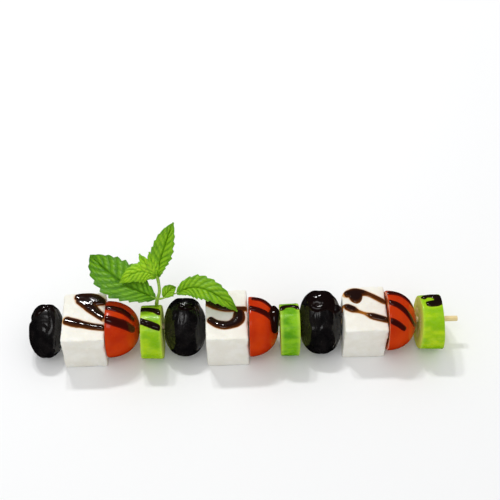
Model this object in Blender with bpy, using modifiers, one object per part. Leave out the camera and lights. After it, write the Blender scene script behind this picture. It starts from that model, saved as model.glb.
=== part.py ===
"""A greek salad skewer: olives, feta blocks, tomato halves and cucumber slices threaded on a bamboo
stick, drizzled with balsamic glaze, with a sprig of mint lying on top.

Metres. +X runs along the stick to its free end, -Y is the front and +Z is up. The skewer lies on the
flat undersides of its feta blocks, at z = 0. The origin is in the middle of the middle block's
underside, below the stick's axis.
"""

import math
from collections import namedtuple

import bmesh
import bpy
from mathutils import Matrix, Vector, noise
from mathutils.bvhtree import BVHTree

MM = 0.001
NAME = "greek_salad_skewer"

# The whole row
ROW_LENGTH = 200.0 * MM
TOUCHING_GAP = 0.3 * MM  # between any two pieces that touch

# The bamboo stick
STICK_DIAMETER = 2.6 * MM
STICK_AXIS_Z = 13.0 * MM
STICK_POINT_LENGTH = 8.0 * MM
STICK_POINT_DIAMETER = 0.5 * MM
STICK_POINT_COVER = 3.0 * MM  # olive left past the point of the stick
STICK_SIDES = 16

# The food in its order from the left: name, and its length along the stick
ROW = (
    ("olive_1", 16.1 * MM),
    ("feta_1", 20.2 * MM),
    ("tomato_1", 15.4 * MM),
    ("cucumber_1", 11.1 * MM),
    ("olive_2", 19.4 * MM),
    ("feta_2", 19.8 * MM),
    ("tomato_2", 14.2 * MM),
    ("cucumber_2", 9.5 * MM),
    ("olive_3", 19.8 * MM),
    ("feta_3", 20.5 * MM),
    ("tomato_3", 14.3 * MM),
    ("cucumber_3", 12.7 * MM),
)
MIDDLE_BLOCK = "feta_2"

# Olives lie across the stick, tilted up at the back. length is along the olive's own axis.
Olive = namedtuple("Olive", "length tilt centre_z seed")
OLIVES = {
    "olive_1": Olive(26.0 * MM, math.radians(33), 12.2 * MM, 3),
    "olive_2": Olive(28.2 * MM, math.radians(35), 12.6 * MM, 8),
    "olive_3": Olive(30.6 * MM, math.radians(36), 13.4 * MM, 14),
}
OLIVE_SIDES = 20
OLIVE_RINGS = 14
OLIVE_FULLNESS = 0.88  # under 1 squares the shoulders of the oval
OLIVE_PRESSED = 0.80  # under 1 flattens the sides that press on the neighbours
OLIVE_TAPER = 0.06  # how much narrower one end is than the other
OLIVE_WRINKLE = 0.055  # depth of the wrinkles, as a share of the radius
OLIVE_WRINKLE_SCALE = 2.3
OLIVE_WRINKLE_STRETCH = 0.45  # wrinkles run along the olive
OLIVE_DIMPLE_DEPTH = 0.9 * MM
OLIVE_DIMPLE_WIDTH = 0.27  # as a share of the radius

# Feta blocks, cut by hand: front and back are y, and the cut corners are at the back left
Feta = namedtuple("Feta", "front back height cut_along cut_across lean seed")
FETAS = {
    "feta_1": Feta(-13.0 * MM, 14.0 * MM, 22.0 * MM, 0.9 * MM, 1.2 * MM, 0.3 * MM, 21),
    "feta_2": Feta(-14.4 * MM, 13.4 * MM, 22.2 * MM, 0.5 * MM, 0.6 * MM, -0.3 * MM, 34),
    "feta_3": Feta(-11.9 * MM, 13.5 * MM, 21.8 * MM, 3.6 * MM, 5.0 * MM, 0.4 * MM, 47),
}
FETA_CUTS = 3
FETA_ROUGHNESS = 0.35 * MM
FETA_LUMPS = 4.1
FETA_EDGE = 0.9 * MM
FETA_EDGE_SEGMENTS = 2
SHARP_ANGLE = math.radians(50)

# Tomato halves: the cut face is on the left, against the feta
Tomato = namedtuple("Tomato", "diameter centre_y centre_z seed")
TOMATOES = {
    "tomato_1": Tomato(26.6 * MM, -1.2 * MM, 13.6 * MM, 51),
    "tomato_2": Tomato(28.2 * MM, -2.4 * MM, 14.3 * MM, 62),
    "tomato_3": Tomato(28.2 * MM, -1.0 * MM, 14.3 * MM, 73),
}
TOMATO_SIDES = 26
TOMATO_RINGS = 15
TOMATO_FULLNESS = 0.90  # under 1 blunts the dome, which presses on the cucumber
TOMATO_LUMPS = 0.012  # as a share of the radius
TOMATO_LUMP_SCALE = 1.6

# Cucumber slices. skew is how far the top of each cut face leans along the stick.
Cucumber = namedtuple("Cucumber", "left_diameter right_diameter centre_y centre_z left_skew right_skew")
CUCUMBERS = {
    "cucumber_1": Cucumber(25.0 * MM, 25.6 * MM, -2.9 * MM, 13.0 * MM, 0.3 * MM, -0.4 * MM),
    "cucumber_2": Cucumber(24.4 * MM, 24.8 * MM, -3.6 * MM, 12.7 * MM, -0.3 * MM, 0.3 * MM),
    "cucumber_3": Cucumber(25.2 * MM, 26.2 * MM, -1.7 * MM, 13.3 * MM, 0.5 * MM, -0.8 * MM),
}
CUCUMBER_SIDES = 40
CUCUMBER_RIDGES = 10
CUCUMBER_RIDGE_DEPTH = 0.012  # as a share of the radius
CUCUMBER_EDGE = 0.4 * MM

# The drizzle, as strokes on each piece. A stroke is a row of (along, across, width), along in mm
# from the piece's left end. On feta, across is y in mm; on round food it is the angle in degrees
# from the top of the stick's axis, towards the front. A stroke of one point is a round pool.
DRIZZLE_HEIGHT = 1.0 * MM
DRIZZLE_SPACING = 2.2 * MM
DRIZZLE_END = 0.28  # width at a stroke's ends, as a share of its width
DRIZZLE_END_STEP = 0.35  # the last step to each end, as a share of a full one
DRIZZLE_LEAST_STEPS = 4
DRIZZLE_INSET = 0.35 * MM  # kept clear at each end of the piece
POOL_SIDES = 14
POOL_RINGS = 8
REACH = 60.0 * MM  # where a line that looks for a piece's surface starts
DRIZZLE = {
    "olive_1": [[(3.9, -20, 2.2), (8.3, -36, 3.0), (13.2, -38, 2.4)]],
    "feta_1": [
        [(4.9, 11.0, 4.0), (10.8, 10.8, 5.4), (16.8, 8.8, 5.2)],
        [(5.3, 10.4, 4.0), (10.0, 7.4, 4.2), (15.3, 2.2, 3.4), (19.0, -1.1, 2.8)],
        [(1.5, -0.6, 3.4), (5.3, -2.7, 3.4), (12.6, -4.6, 2.8), (19.0, -6.2, 2.3)],
    ],
    "tomato_1": [
        [(0.8, -6, 2.4), (7.0, -8, 2.6), (11.4, 3, 2.4)],
        [(1.2, 5, 2.6), (6.3, 20, 2.6), (10.2, 39, 2.2)],
        [(0.9, 22, 2.4), (4.1, 33, 2.4), (7.1, 45, 2.0)],
    ],
    "cucumber_1": [
        [(3.9, -8, 2.4), (7.4, -3, 2.8), (10.4, 5, 2.6)],
        [(0.9, 22, 3.0), (5.2, 31, 2.8), (10.4, 43, 2.2)],
    ],
    "olive_2": [[(6.1, -26, 2.0), (10.1, -15, 2.6), (15.1, -22, 2.0)]],
    "feta_2": [
        [(1.0, 7.2, 2.6), (5.5, 4.9, 2.8), (10.5, 3.0, 2.8), (18.6, 2.2, 2.2)],
        [(1.3, -2.6, 3.0), (5.4, -5.6, 3.6), (10.4, -6.4, 4.2), (15.0, -3.8, 5.0), (15.6, 1.6, 4.2)],
    ],
    "tomato_2": [
        [(0.6, 5, 2.2), (4.4, 13, 2.6), (9.5, 24, 2.6), (12.2, 50, 2.0)],
        [(1.6, -21, 2.2), (7.2, -22, 2.8), (11.2, -12, 3.4), (12.2, 20, 3.0)],
    ],
    "cucumber_2": [[(0.8, 0, 2.0), (2.9, -7, 2.4), (6.6, -6, 2.4), (8.7, 0, 2.0)]],
    "olive_3": [[(2.8, -15, 2.4), (7.2, -2, 3.0), (11.7, -5, 3.0), (17.2, -16, 2.4)]],
    "feta_3": [
        [(6.4, 8.0, 8.0)],
        [(1.2, 7.6, 2.2), (3.9, 10.0, 2.6), (7.8, 11.3, 2.4), (12.8, 9.0, 2.6), (19.5, 4.4, 2.4)],
        [(1.3, 2.7, 2.6), (4.6, 0.9, 3.4), (8.9, -1.2, 1.6), (13.4, -3.4, 3.4), (19.5, -5.7, 2.8)],
    ],
    "tomato_3": [
        [(0.8, -24, 2.2), (5.8, -25, 2.6), (9.8, -20, 2.4), (11.8, -4, 2.0)],
        [(0.8, 3, 2.4), (5.2, 11, 2.6), (9.4, 32, 2.6), (11.6, 56, 2.2)],
        [(1.2, 40, 2.4), (4.2, 49, 2.4), (7.3, 62, 2.0)],
    ],
    "cucumber_3": [
        [(1.9, -14, 2.2), (4.4, -25, 2.4), (8.2, -24, 2.8), (10.0, -12, 3.4), (8.8, 0, 3.4), (3.6, 1, 2.6)],
    ],
}

# The mint, in mm from the left end of the cucumber slice that its stem rests on, from the stick's
# axis and from the underside. A leaf's route is its midrib, from the stem to its tip.
MINT_RESTS_ON = "cucumber_1"
MINT_THICKNESS = 0.7 * MM
MINT_STEM_DIAMETER = 2.0 * MM
MINT_PETIOLE_DIAMETER = 1.3 * MM
MINT_TUBE_STEPS = 6
MINT_STEM = [(8.2, 5.0, 24.1), (8.8, 4.6, 28.4), (9.9, 7.0, 31.0), (9.6, 10.3, 33.4), (9.1, 12.2, 35.2)]
MINT_PETIOLES = [
    [(8.8, 4.6, 28.6), (7.9, 4.7, 29.3), (6.0, 5.3, 30.1)],
    [(8.8, 4.6, 28.6), (11.3, 4.2, 29.6), (14.5, 5.2, 30.3), (18.5, 6.4, 30.7)],
]
Leaf = namedtuple("Leaf", "route width widest blunt facing fold wave")
BROAD_LEAF = Leaf(  # on the left, over the back of the feta
    route=[(8.1, 4.3, 29.5), (0.6, 7.4, 31.0), (-8.0, 12.7, 31.8), (-16.0, 20.9, 31.2), (-23.4, 31.0, 29.2)],
    width=20.5, widest=0.5, blunt=2.1, facing=(-0.12, -0.16, 1.0), fold=8, wave=0.5,
)
LONG_LEAF = Leaf(  # on the right, arching over the olive down to the middle feta
    route=[(17.7, 6.0, 30.6), (23.7, 8.0, 31.8), (30.3, 7.3, 31.6), (37.9, 3.8, 29.2), (45.5, -0.4, 24.4)],
    width=13.0, widest=0.38, blunt=2.2, facing=(0.1, -0.25, 1.0), fold=16, wave=0.4,
)
SMALL_LEAF = Leaf(
    route=[(11.7, 4.5, 29.8), (14.3, 7.2, 31.0), (17.4, 9.7, 30.9)],
    width=7.0, widest=0.42, blunt=1.5, facing=(0.1, -0.3, 1.0), fold=14, wave=0.3,
)
CURLED_LEAF = Leaf(  # from the top of the stem down to the left
    route=[(9.1, 12.2, 35.0), (4.7, 13.6, 37.4), (-1.3, 13.2, 37.2), (-8.3, 10.4, 34.0)],
    width=10.5, widest=0.42, blunt=2.2, facing=(-0.1, -0.5, 1.0), fold=-10, wave=0.5,
)
UPRIGHT_LEAF = Leaf(
    route=[(9.5, 12.2, 35.0), (10.6, 16.6, 40.4), (13.6, 23.2, 46.2), (17.0, 31.0, 51.5)],
    width=12.0, widest=0.45, blunt=2.4, facing=(-0.5, -1.0, 0.55), fold=20, wave=0.5,
)
YOUNG_LEAVES = [
    Leaf(
        route=[(9.1, 12.2, 35.0), (5.3, 15.4, 38.8), (1.0, 20.4, 42.2)],
        width=6.6, widest=0.4, blunt=2.0, facing=(-0.3, -1.0, 0.9), fold=14, wave=0.3,
    ),
    Leaf(
        route=[(9.3, 12.3, 35.4), (7.3, 15.6, 39.4), (5.9, 20.2, 43.8)],
        width=6.0, widest=0.4, blunt=2.0, facing=(0.0, -1.0, 0.8), fold=14, wave=0.2,
    ),
]
MINT_LEAVES = [BROAD_LEAF, LONG_LEAF, SMALL_LEAF, CURLED_LEAF, UPRIGHT_LEAF] + YOUNG_LEAVES
LEAF_TEETH = 7
LEAF_STEPS_ACROSS = 4
LEAF_TOOTH_DEPTH = 0.09  # as a share of the half width
LEAF_BASE_ROUNDING = 0.6  # under 1 rounds the leaf's base
LEAF_WAVES = 3.2  # half waves along the edge
LEAF_LEAST_WIDTH = 0.9 * MM
LEAF_NEARBY = 0.001  # share of the midrib over which its direction is taken

TINY = 1e-6

# Linear red, green and blue, then roughness
FINISHES = {
    "olive": ((0.012, 0.011, 0.012), 0.22),
    "feta": ((0.88, 0.85, 0.77), 0.62),
    "tomato": ((0.56, 0.035, 0.012), 0.22),
    "cucumber": ((0.17, 0.40, 0.035), 0.35),
    "bamboo": ((0.80, 0.60, 0.32), 0.60),
    "mint": ((0.13, 0.42, 0.02), 0.45),
}


def clear_scene():
    for obj in list(bpy.data.objects):
        bpy.data.objects.remove(obj, do_unlink=True)


def new_collection(name):
    collection = bpy.data.collections.new(name)
    bpy.context.scene.collection.children.link(collection)
    return collection


def finish_of(name):
    """The Principled material of a kind of food, made on first use."""
    material = bpy.data.materials.get(name)
    if material:
        return material
    colour, roughness = FINISHES[name]
    material = bpy.data.materials.new(name)
    material.use_nodes = True
    shader = material.node_tree.nodes["Principled BSDF"]
    shader.inputs["Base Color"].default_value = (*colour, 1.0)
    shader.inputs["Roughness"].default_value = roughness
    shader.inputs["Metallic"].default_value = 0.0
    return material


def object_from(bm, name, collection, location=(0.0, 0.0, 0.0)):
    mesh = bpy.data.meshes.new(name)
    bmesh.ops.recalc_face_normals(bm, faces=bm.faces)
    bm.to_mesh(mesh)
    bm.free()
    obj = bpy.data.objects.new(name, mesh)
    obj.location = location
    collection.objects.link(obj)
    return obj


def make_real(obj):
    """Turns a curve, or a mesh with modifiers, into a plain mesh whose caps are welded."""
    bpy.context.view_layer.update()
    evaluated = obj.evaluated_get(bpy.context.evaluated_depsgraph_get())
    mesh = bpy.data.meshes.new_from_object(evaluated)
    bm = bmesh.new()
    bm.from_mesh(mesh)
    bmesh.ops.remove_doubles(bm, verts=bm.verts, dist=0.001 * MM)
    bm.to_mesh(mesh)
    bm.free()
    made = bpy.data.objects.new(obj.name, mesh)
    made.matrix_world = obj.matrix_world
    for collection in obj.users_collection:
        collection.objects.link(made)
    name = obj.name
    bpy.data.objects.remove(obj, do_unlink=True)
    made.name = name
    return made


def tube(name, points, radii, collection, bevel_resolution):
    curve = bpy.data.curves.new(name, "CURVE")
    curve.dimensions = "3D"
    curve.bevel_depth = 1.0
    curve.bevel_resolution = bevel_resolution
    curve.use_fill_caps = True
    spline = curve.splines.new("POLY")
    spline.points.add(len(points) - 1)
    for point, place, radius in zip(spline.points, points, radii):
        point.co = (*place, 1.0)
        point.radius = radius
    obj = bpy.data.objects.new(name, curve)
    collection.objects.link(obj)
    return make_real(obj)


def on_route(points, share):
    """The point at a share of the way along a smooth curve through the points."""
    spans = len(points) - 1
    place = min(share * spans, spans - 1e-6)
    first = int(place)
    t = place - first
    b, c = Vector(points[first]), Vector(points[first + 1])
    a = Vector(points[first - 1]) if first > 0 else 2 * b - c
    d = Vector(points[first + 2]) if first + 2 <= spans else 2 * c - b
    return 0.5 * (2 * b + (c - a) * t + (2 * a - 5 * b + 4 * c - d) * t**2 + (3 * b - a - 3 * c + d) * t**3)


def lumps(direction, scale, seed):
    """Smooth unevenness between 0 and 1, the same for the same seed."""
    return 0.5 + 0.5 * noise.noise(direction * scale + Vector((seed, 0.37 * seed, -0.71 * seed)))


def shifts(place, scale, seed):
    """An uneven shift of up to 1 each way, the same for the same seed."""
    return Vector([2 * lumps(place, scale, seed + step) - 1 for step in range(3)])


def join(obj, others):
    """One Boolean union of the object with a collection of helpers, applied, helpers removed."""
    helpers = new_collection(obj.name + "_helpers")
    for other in others:
        for collection in list(other.users_collection):
            collection.objects.unlink(other)
        helpers.objects.link(other)
    union = obj.modifiers.new("union", "BOOLEAN")
    union.operation = "UNION"
    union.operand_type = "COLLECTION"
    union.collection = helpers
    union.solver = "MANIFOLD"
    joined = make_real(obj)
    for other in list(helpers.objects):
        bpy.data.objects.remove(other, do_unlink=True)
    bpy.data.collections.remove(helpers)
    return joined


def pointed_rod(name, diameter, start, end, point_diameter, collection):
    """A rod along X on the stick's axis, drawn to a point at its start."""
    bm = bmesh.new()
    turn = Matrix.Rotation(math.radians(90), 4, "Y")
    place = Matrix.Translation(((start + end) / 2, 0, 0)) @ turn
    bmesh.ops.create_cone(
        bm, cap_ends=True, segments=STICK_SIDES, radius1=diameter / 2, radius2=diameter / 2,
        depth=end - start, matrix=place,
    )
    whole = bm.verts[:] + bm.edges[:] + bm.faces[:]
    shoulder = Vector((start + STICK_POINT_LENGTH, 0, 0))
    bmesh.ops.bisect_plane(bm, geom=whole, plane_co=shoulder, plane_no=(1, 0, 0))
    for vert in bm.verts:
        if vert.co.x < start + STICK_POINT_LENGTH / 2:
            vert.co.yz *= point_diameter / diameter
    return object_from(bm, name, collection, (0.0, 0.0, STICK_AXIS_Z))


def fuller(share, fullness):
    """Moves a share between -1 and 1 away from 0, which squares off a rounded form."""
    return math.copysign(abs(share) ** fullness, share)


def olive(name, length, collection, start):
    kind = OLIVES[name]
    half = (length - TOUCHING_GAP) / 2
    lean = Matrix.Rotation(kind.tilt - math.radians(90), 3, "X")
    bm = bmesh.new()
    bmesh.ops.create_uvsphere(bm, u_segments=OLIVE_SIDES, v_segments=OLIVE_RINGS, radius=1.0)
    for vert in bm.verts:
        way = vert.co.copy()
        off_axis = max(way.xy.length, TINY)
        girth = half * (1 - OLIVE_TAPER * (0.5 + 0.5 * way.z)) * fuller(off_axis, OLIVE_FULLNESS)
        grain = Vector((way.x, way.y, OLIVE_WRINKLE_STRETCH * way.z))
        girth *= 1 - OLIVE_WRINKLE * lumps(grain, OLIVE_WRINKLE_SCALE, kind.seed)
        dimple = OLIVE_DIMPLE_DEPTH * math.exp(-((off_axis / OLIVE_DIMPLE_WIDTH) ** 2)) if way.z > 0 else 0.0
        sideways = girth * fuller(way.x / off_axis, OLIVE_PRESSED)
        endways = kind.length / 2 * fuller(way.z, OLIVE_FULLNESS) - dimple
        vert.co = (sideways, girth * way.y / off_axis, endways)
    widest = max(abs(vert.co.x) for vert in bm.verts)
    for vert in bm.verts:
        vert.co.x *= half / widest
        vert.co = lean @ vert.co + Vector((length / 2, 0, kind.centre_z - STICK_AXIS_Z))
    return object_from(bm, name, collection, (start, 0.0, STICK_AXIS_Z))


def slice_off(bm, place, outwards):
    """Takes off what lies outwards of a plane, and closes the cut."""
    whole = bm.verts[:] + bm.edges[:] + bm.faces[:]
    cut = bmesh.ops.bisect_plane(bm, geom=whole, plane_co=place, plane_no=outwards, clear_outer=True)
    rim = [item for item in cut["geom_cut"] if isinstance(item, bmesh.types.BMEdge)]
    bmesh.ops.contextual_create(bm, geom=rim)


def feta(name, length, collection, start):
    kind = FETAS[name]
    size = Vector((length - TOUCHING_GAP - 2 * FETA_ROUGHNESS, kind.back - kind.front, kind.height))
    middle = Vector((length / 2, (kind.back + kind.front) / 2, kind.height / 2 - STICK_AXIS_Z))
    bm = bmesh.new()
    bmesh.ops.create_cube(bm, size=1.0)
    bmesh.ops.subdivide_edges(bm, edges=bm.edges[:], cuts=FETA_CUTS, use_grid_fill=True)
    for vert in bm.verts:
        share = vert.co.copy()
        place = Vector((share.x * size.x + kind.lean * share.z, share.y * size.y, share.z * size.z))
        rough = shifts(share, FETA_LUMPS, kind.seed) * FETA_ROUGHNESS
        if share.z < TINY - 0.5:
            rough.z = 0.0
        vert.co = place + middle + rough
    slice_off(bm, Vector((kind.cut_along, kind.back, 0)), Vector((-kind.cut_across, kind.cut_along, 0)))
    obj = object_from(bm, name, collection, (start, 0.0, STICK_AXIS_Z))
    bevel = obj.modifiers.new("edges", "BEVEL")
    bevel.limit_method = "ANGLE"
    bevel.angle_limit = SHARP_ANGLE
    bevel.width = FETA_EDGE
    bevel.segments = FETA_EDGE_SEGMENTS
    return make_real(obj)


def tomato(name, length, collection, start):
    kind = TOMATOES[name]
    turn = Matrix.Rotation(math.radians(90), 4, "Y")
    depth = length - TOUCHING_GAP
    bm = bmesh.new()
    bmesh.ops.create_uvsphere(bm, u_segments=TOMATO_SIDES, v_segments=TOMATO_RINGS, radius=1.0, matrix=turn)
    slice_off(bm, Vector((0, 0, 0)), Vector((-1, 0, 0)))
    for vert in bm.verts:
        way = vert.co.copy()
        girth = kind.diameter / 2 * (1 - TOMATO_LUMPS * lumps(way, TOMATO_LUMP_SCALE, kind.seed))
        girth *= fuller(way.yz.length, TOMATO_FULLNESS) / max(way.yz.length, TINY)
        vert.co = Vector((fuller(way.x, TOMATO_FULLNESS) * depth, way.y * girth, way.z * girth))
        vert.co += Vector((TOUCHING_GAP / 2, kind.centre_y, kind.centre_z - STICK_AXIS_Z))
    return object_from(bm, name, collection, (start, 0.0, STICK_AXIS_Z))


def cucumber(name, length, collection, start):
    kind = CUCUMBERS[name]
    slack = max(abs(kind.left_skew), abs(kind.right_skew))
    turn = Matrix.Rotation(math.radians(90), 4, "Y")
    bm = bmesh.new()
    bmesh.ops.create_cone(
        bm, cap_ends=True, segments=CUCUMBER_SIDES, radius1=1.0, radius2=1.0, depth=1.0, matrix=turn
    )
    for vert in bm.verts:
        way = vert.co.copy()
        at_left = way.x < 0
        radius = (kind.left_diameter if at_left else kind.right_diameter) / 2
        ridge = 1 - CUCUMBER_RIDGE_DEPTH * (0.5 + 0.5 * math.cos(CUCUMBER_RIDGES * math.atan2(way.z, way.y)))
        skew = kind.left_skew if at_left else kind.right_skew
        along = length / 2 + way.x * (length - TOUCHING_GAP - 2 * slack) + skew * way.z
        vert.co = Vector((along, way.y * radius * ridge, way.z * radius * ridge))
        vert.co += Vector((0, kind.centre_y, kind.centre_z - STICK_AXIS_Z))
    obj = object_from(bm, name, collection, (start, 0.0, STICK_AXIS_Z))
    bevel = obj.modifiers.new("edges", "BEVEL")
    bevel.limit_method = "ANGLE"
    bevel.angle_limit = SHARP_ANGLE
    bevel.width = CUCUMBER_EDGE
    bevel.segments = 1
    return make_real(obj)


def surface_of(obj):
    bm = bmesh.new()
    bm.from_mesh(obj.data)
    tree = BVHTree.FromBMesh(bm)
    bm.free()
    return tree


def laid_on(surface, along, across, is_flat):
    """Where a point of a stroke meets the piece, looking down at feta or inwards at round food."""
    if is_flat:
        outside = Vector((along * MM, across * MM, REACH))
        inwards = Vector((0, 0, -1))
    else:
        inwards = Vector((0, math.sin(math.radians(across)), -math.cos(math.radians(across))))
        outside = Vector((along * MM, 0, 0)) - inwards * REACH
    return surface.ray_cast(outside, inwards)[0]


def flatten(obj, surface, width, length):
    """Presses a round bead towards the piece until it is DRIZZLE_HEIGHT high, between the piece's ends."""
    share = min(1.0, 2 * DRIZZLE_HEIGHT / width)
    for vert in obj.data.vertices:
        nearest = surface.find_nearest(vert.co)[0]
        vert.co = nearest + (vert.co - nearest) * share
        vert.co.x = min(max(vert.co.x, DRIZZLE_INSET), length - DRIZZLE_INSET)


def pool(name, stroke, surface, is_flat, length, collection):
    along, across, width = stroke[0]
    centre = laid_on(surface, along, across, is_flat)
    bm = bmesh.new()
    place = Matrix.Translation(centre) @ Matrix.Scale(width * MM / 2, 4)
    bmesh.ops.create_uvsphere(bm, u_segments=POOL_SIDES, v_segments=POOL_RINGS, radius=1.0, matrix=place)
    obj = object_from(bm, name, collection)
    flatten(obj, surface, width * MM, length)
    return obj


def bead(name, stroke, surface, is_flat, length, collection):
    turns = [laid_on(surface, along, across, is_flat) for along, across, width in stroke]
    extent = sum((b - a).length for a, b in zip(turns, turns[1:]))
    steps = max(DRIZZLE_LEAST_STEPS, round(extent / DRIZZLE_SPACING))
    end = DRIZZLE_END_STEP / steps
    shares = [0.0, end] + [i / steps for i in range(1, steps)] + [1 - end, 1.0]
    points, radii = [], []
    for share in shares:
        along, across, width = on_route(stroke, share)
        points.append(laid_on(surface, along, across, is_flat))
        radii.append(width * MM / 2)
    radii[0] *= DRIZZLE_END
    radii[-1] *= DRIZZLE_END
    obj = tube(name, points, radii, collection, 1)
    flatten(obj, surface, 2 * max(radii), length)
    return obj


def drizzle_on(obj, length, collection):
    """Lays the piece's strokes on it and joins them to it."""
    surface = surface_of(obj)
    is_flat = obj.name.startswith("feta")
    beads = []
    for number, stroke in enumerate(DRIZZLE[obj.name]):
        lay = pool if len(stroke) == 1 else bead
        made = lay(f"{obj.name}_stroke_{number}", stroke, surface, is_flat, length, collection)
        made.location = obj.location
        beads.append(made)
    return join(obj, beads)


def leaf_half_width(leaf, share, tooth):
    """Half the width at a share of the midrib, pointed at both ends, with teeth along the edge."""
    rising = min(1.0, share / leaf.widest) ** LEAF_BASE_ROUNDING
    past = max(0.0, (share - leaf.widest) / (1 - leaf.widest))
    falling = 1 - past**leaf.blunt
    half = leaf.width * MM / 2 * rising * falling * (1 - LEAF_TOOTH_DEPTH * tooth)
    return max(half, LEAF_LEAST_WIDTH / 2)


def leaf_blade(name, leaf, collection):
    """A thin wavy blade bent along its midrib, its two faces split into triangles alike."""
    route = [Vector(p) * MM for p in leaf.route]
    steps = 2 * LEAF_TEETH
    bm = bmesh.new()
    bmesh.ops.create_grid(bm, x_segments=steps, y_segments=LEAF_STEPS_ACROSS, size=1.0)
    for vert in bm.verts:
        share = 0.5 + 0.5 * vert.co.x
        across = vert.co.y
        tooth = round(share * steps) % 2
        half = leaf_half_width(leaf, share, tooth)
        behind, before = max(0.0, share - LEAF_NEARBY), min(1.0, share + LEAF_NEARBY)
        ahead = on_route(route, before) - on_route(route, behind)
        side = ahead.cross(Vector(leaf.facing)).normalized()
        up = side.cross(ahead).normalized()
        rise = math.radians(leaf.fold)
        wave = leaf.wave * MM * math.sin(LEAF_WAVES * math.pi * share + across) * abs(across)
        vert.co = on_route(route, share) + side * across * half * math.cos(rise)
        vert.co += up * (abs(across) * half * math.sin(rise) + wave)
    bmesh.ops.triangulate(bm, faces=bm.faces[:])
    obj = object_from(bm, name, collection)
    thick = obj.modifiers.new("thickness", "SOLIDIFY")
    thick.thickness = MINT_THICKNESS
    thick.offset = 0.0
    return make_real(obj)


def mint_tube(name, route, diameter, collection):
    points = [on_route(route, i / MINT_TUBE_STEPS) * MM for i in range(MINT_TUBE_STEPS + 1)]
    return tube(name, points, [diameter / 2] * len(points), collection, 1)


def mint_sprig(collection):
    stem = mint_tube("mint_sprig", MINT_STEM, MINT_STEM_DIAMETER, collection)
    others = []
    for number, route in enumerate(MINT_PETIOLES):
        others.append(mint_tube(f"petiole_{number}", route, MINT_PETIOLE_DIAMETER, collection))
    for number, leaf in enumerate(MINT_LEAVES):
        others.append(leaf_blade(f"leaf_{number}", leaf, collection))
    return join(stem, others)


def thread_on(obj, bore):
    """Cuts the hole that the stick runs through."""
    cut = obj.modifiers.new("bore", "BOOLEAN")
    cut.operation = "DIFFERENCE"
    cut.object = bore
    cut.solver = "EXACT"


def shade(obj, finish):
    obj.data.materials.clear()
    obj.data.materials.append(finish_of(finish))
    obj.data.shade_smooth()
    obj.data.set_sharp_from_angle(angle=SHARP_ANGLE)


def row_starts():
    """Where each piece of food starts along X, with the middle block's middle at 0."""
    starts = {}
    reached = 0.0
    for name, length in ROW:
        starts[name] = reached
        reached += length
    middle = starts[MIDDLE_BLOCK] + dict(ROW)[MIDDLE_BLOCK] / 2
    return {name: start - middle for name, start in starts.items()}


def main():
    clear_scene()
    parts = new_collection(NAME)
    cutters = new_collection(NAME + "_cutters")
    makers = {"olive": olive, "feta": feta, "tomato": tomato, "cucumber": cucumber}
    starts = row_starts()
    left = starts[ROW[0][0]]
    right = left + ROW_LENGTH
    point = left + STICK_POINT_COVER
    stick = pointed_rod("stick", STICK_DIAMETER, point, right, STICK_POINT_DIAMETER, parts)
    bore_diameter = STICK_DIAMETER + 2 * TOUCHING_GAP
    bore_point = STICK_POINT_DIAMETER + 2 * TOUCHING_GAP
    bore = pointed_rod("bore", bore_diameter, point - TOUCHING_GAP, right, bore_point, cutters)
    bore.hide_render = True
    bore.display_type = "WIRE"
    shade(stick, "bamboo")
    made = [stick]
    for name, length in ROW:
        kind = name.split("_")[0]
        piece = makers[kind](name, length, parts, starts[name])
        piece = drizzle_on(piece, length, parts)
        thread_on(piece, bore)
        shade(piece, kind)
        made.append(piece)
    sprig = mint_sprig(parts)
    sprig.location.x = starts[MINT_RESTS_ON]
    shade(sprig, "mint")
    made.append(sprig)
    origin = bpy.data.objects.new(NAME + "_origin", None)
    parts.objects.link(origin)
    for obj in made + [bore]:
        obj.parent = origin


main()
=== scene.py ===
"""The looks of the greek salad skewer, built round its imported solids.

The foods are rebuilt from the same named sizes as the solids, only finer, each with its own
procedural material. The balsamic glaze lies on them as one mesh of its own. Metres, +Z up.
"""

import math
from collections import namedtuple

import bmesh
import bpy
import numpy as np
from mathutils import Matrix, Vector, noise
from mathutils.bvhtree import BVHTree


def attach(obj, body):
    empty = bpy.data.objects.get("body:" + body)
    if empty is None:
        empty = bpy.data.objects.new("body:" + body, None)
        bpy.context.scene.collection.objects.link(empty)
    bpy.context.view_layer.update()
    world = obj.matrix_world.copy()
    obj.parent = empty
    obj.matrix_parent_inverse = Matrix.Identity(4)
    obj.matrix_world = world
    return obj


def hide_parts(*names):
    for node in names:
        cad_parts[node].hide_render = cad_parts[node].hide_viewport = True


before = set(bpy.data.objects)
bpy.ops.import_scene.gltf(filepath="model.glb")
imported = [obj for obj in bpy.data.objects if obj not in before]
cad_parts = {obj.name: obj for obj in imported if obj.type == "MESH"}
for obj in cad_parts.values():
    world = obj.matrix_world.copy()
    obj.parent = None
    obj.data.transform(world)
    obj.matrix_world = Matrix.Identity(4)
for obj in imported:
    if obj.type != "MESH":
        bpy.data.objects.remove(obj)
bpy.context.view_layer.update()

MM = 0.001

# ---- sizes shared with the solids

TOUCHING_GAP = 0.3 * MM
STICK_DIAMETER = 2.6 * MM
STICK_AXIS_Z = 13.0 * MM
STICK_POINT_LENGTH = 8.0 * MM
STICK_POINT_DIAMETER = 0.5 * MM
STICK_POINT_COVER = 3.0 * MM
ROW_LENGTH = 200.0 * MM

# How long each piece of the row is, from left to right
LENGTHS = {
    "olive_1": 16.1 * MM,
    "feta_1": 20.2 * MM,
    "tomato_1": 15.4 * MM,
    "cucumber_1": 11.1 * MM,
    "olive_2": 19.4 * MM,
    "feta_2": 19.8 * MM,
    "tomato_2": 14.2 * MM,
    "cucumber_2": 9.5 * MM,
    "olive_3": 19.8 * MM,
    "feta_3": 20.5 * MM,
    "tomato_3": 14.3 * MM,
    "cucumber_3": 12.7 * MM,
}
MIDDLE_BLOCK = "feta_2"

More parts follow.
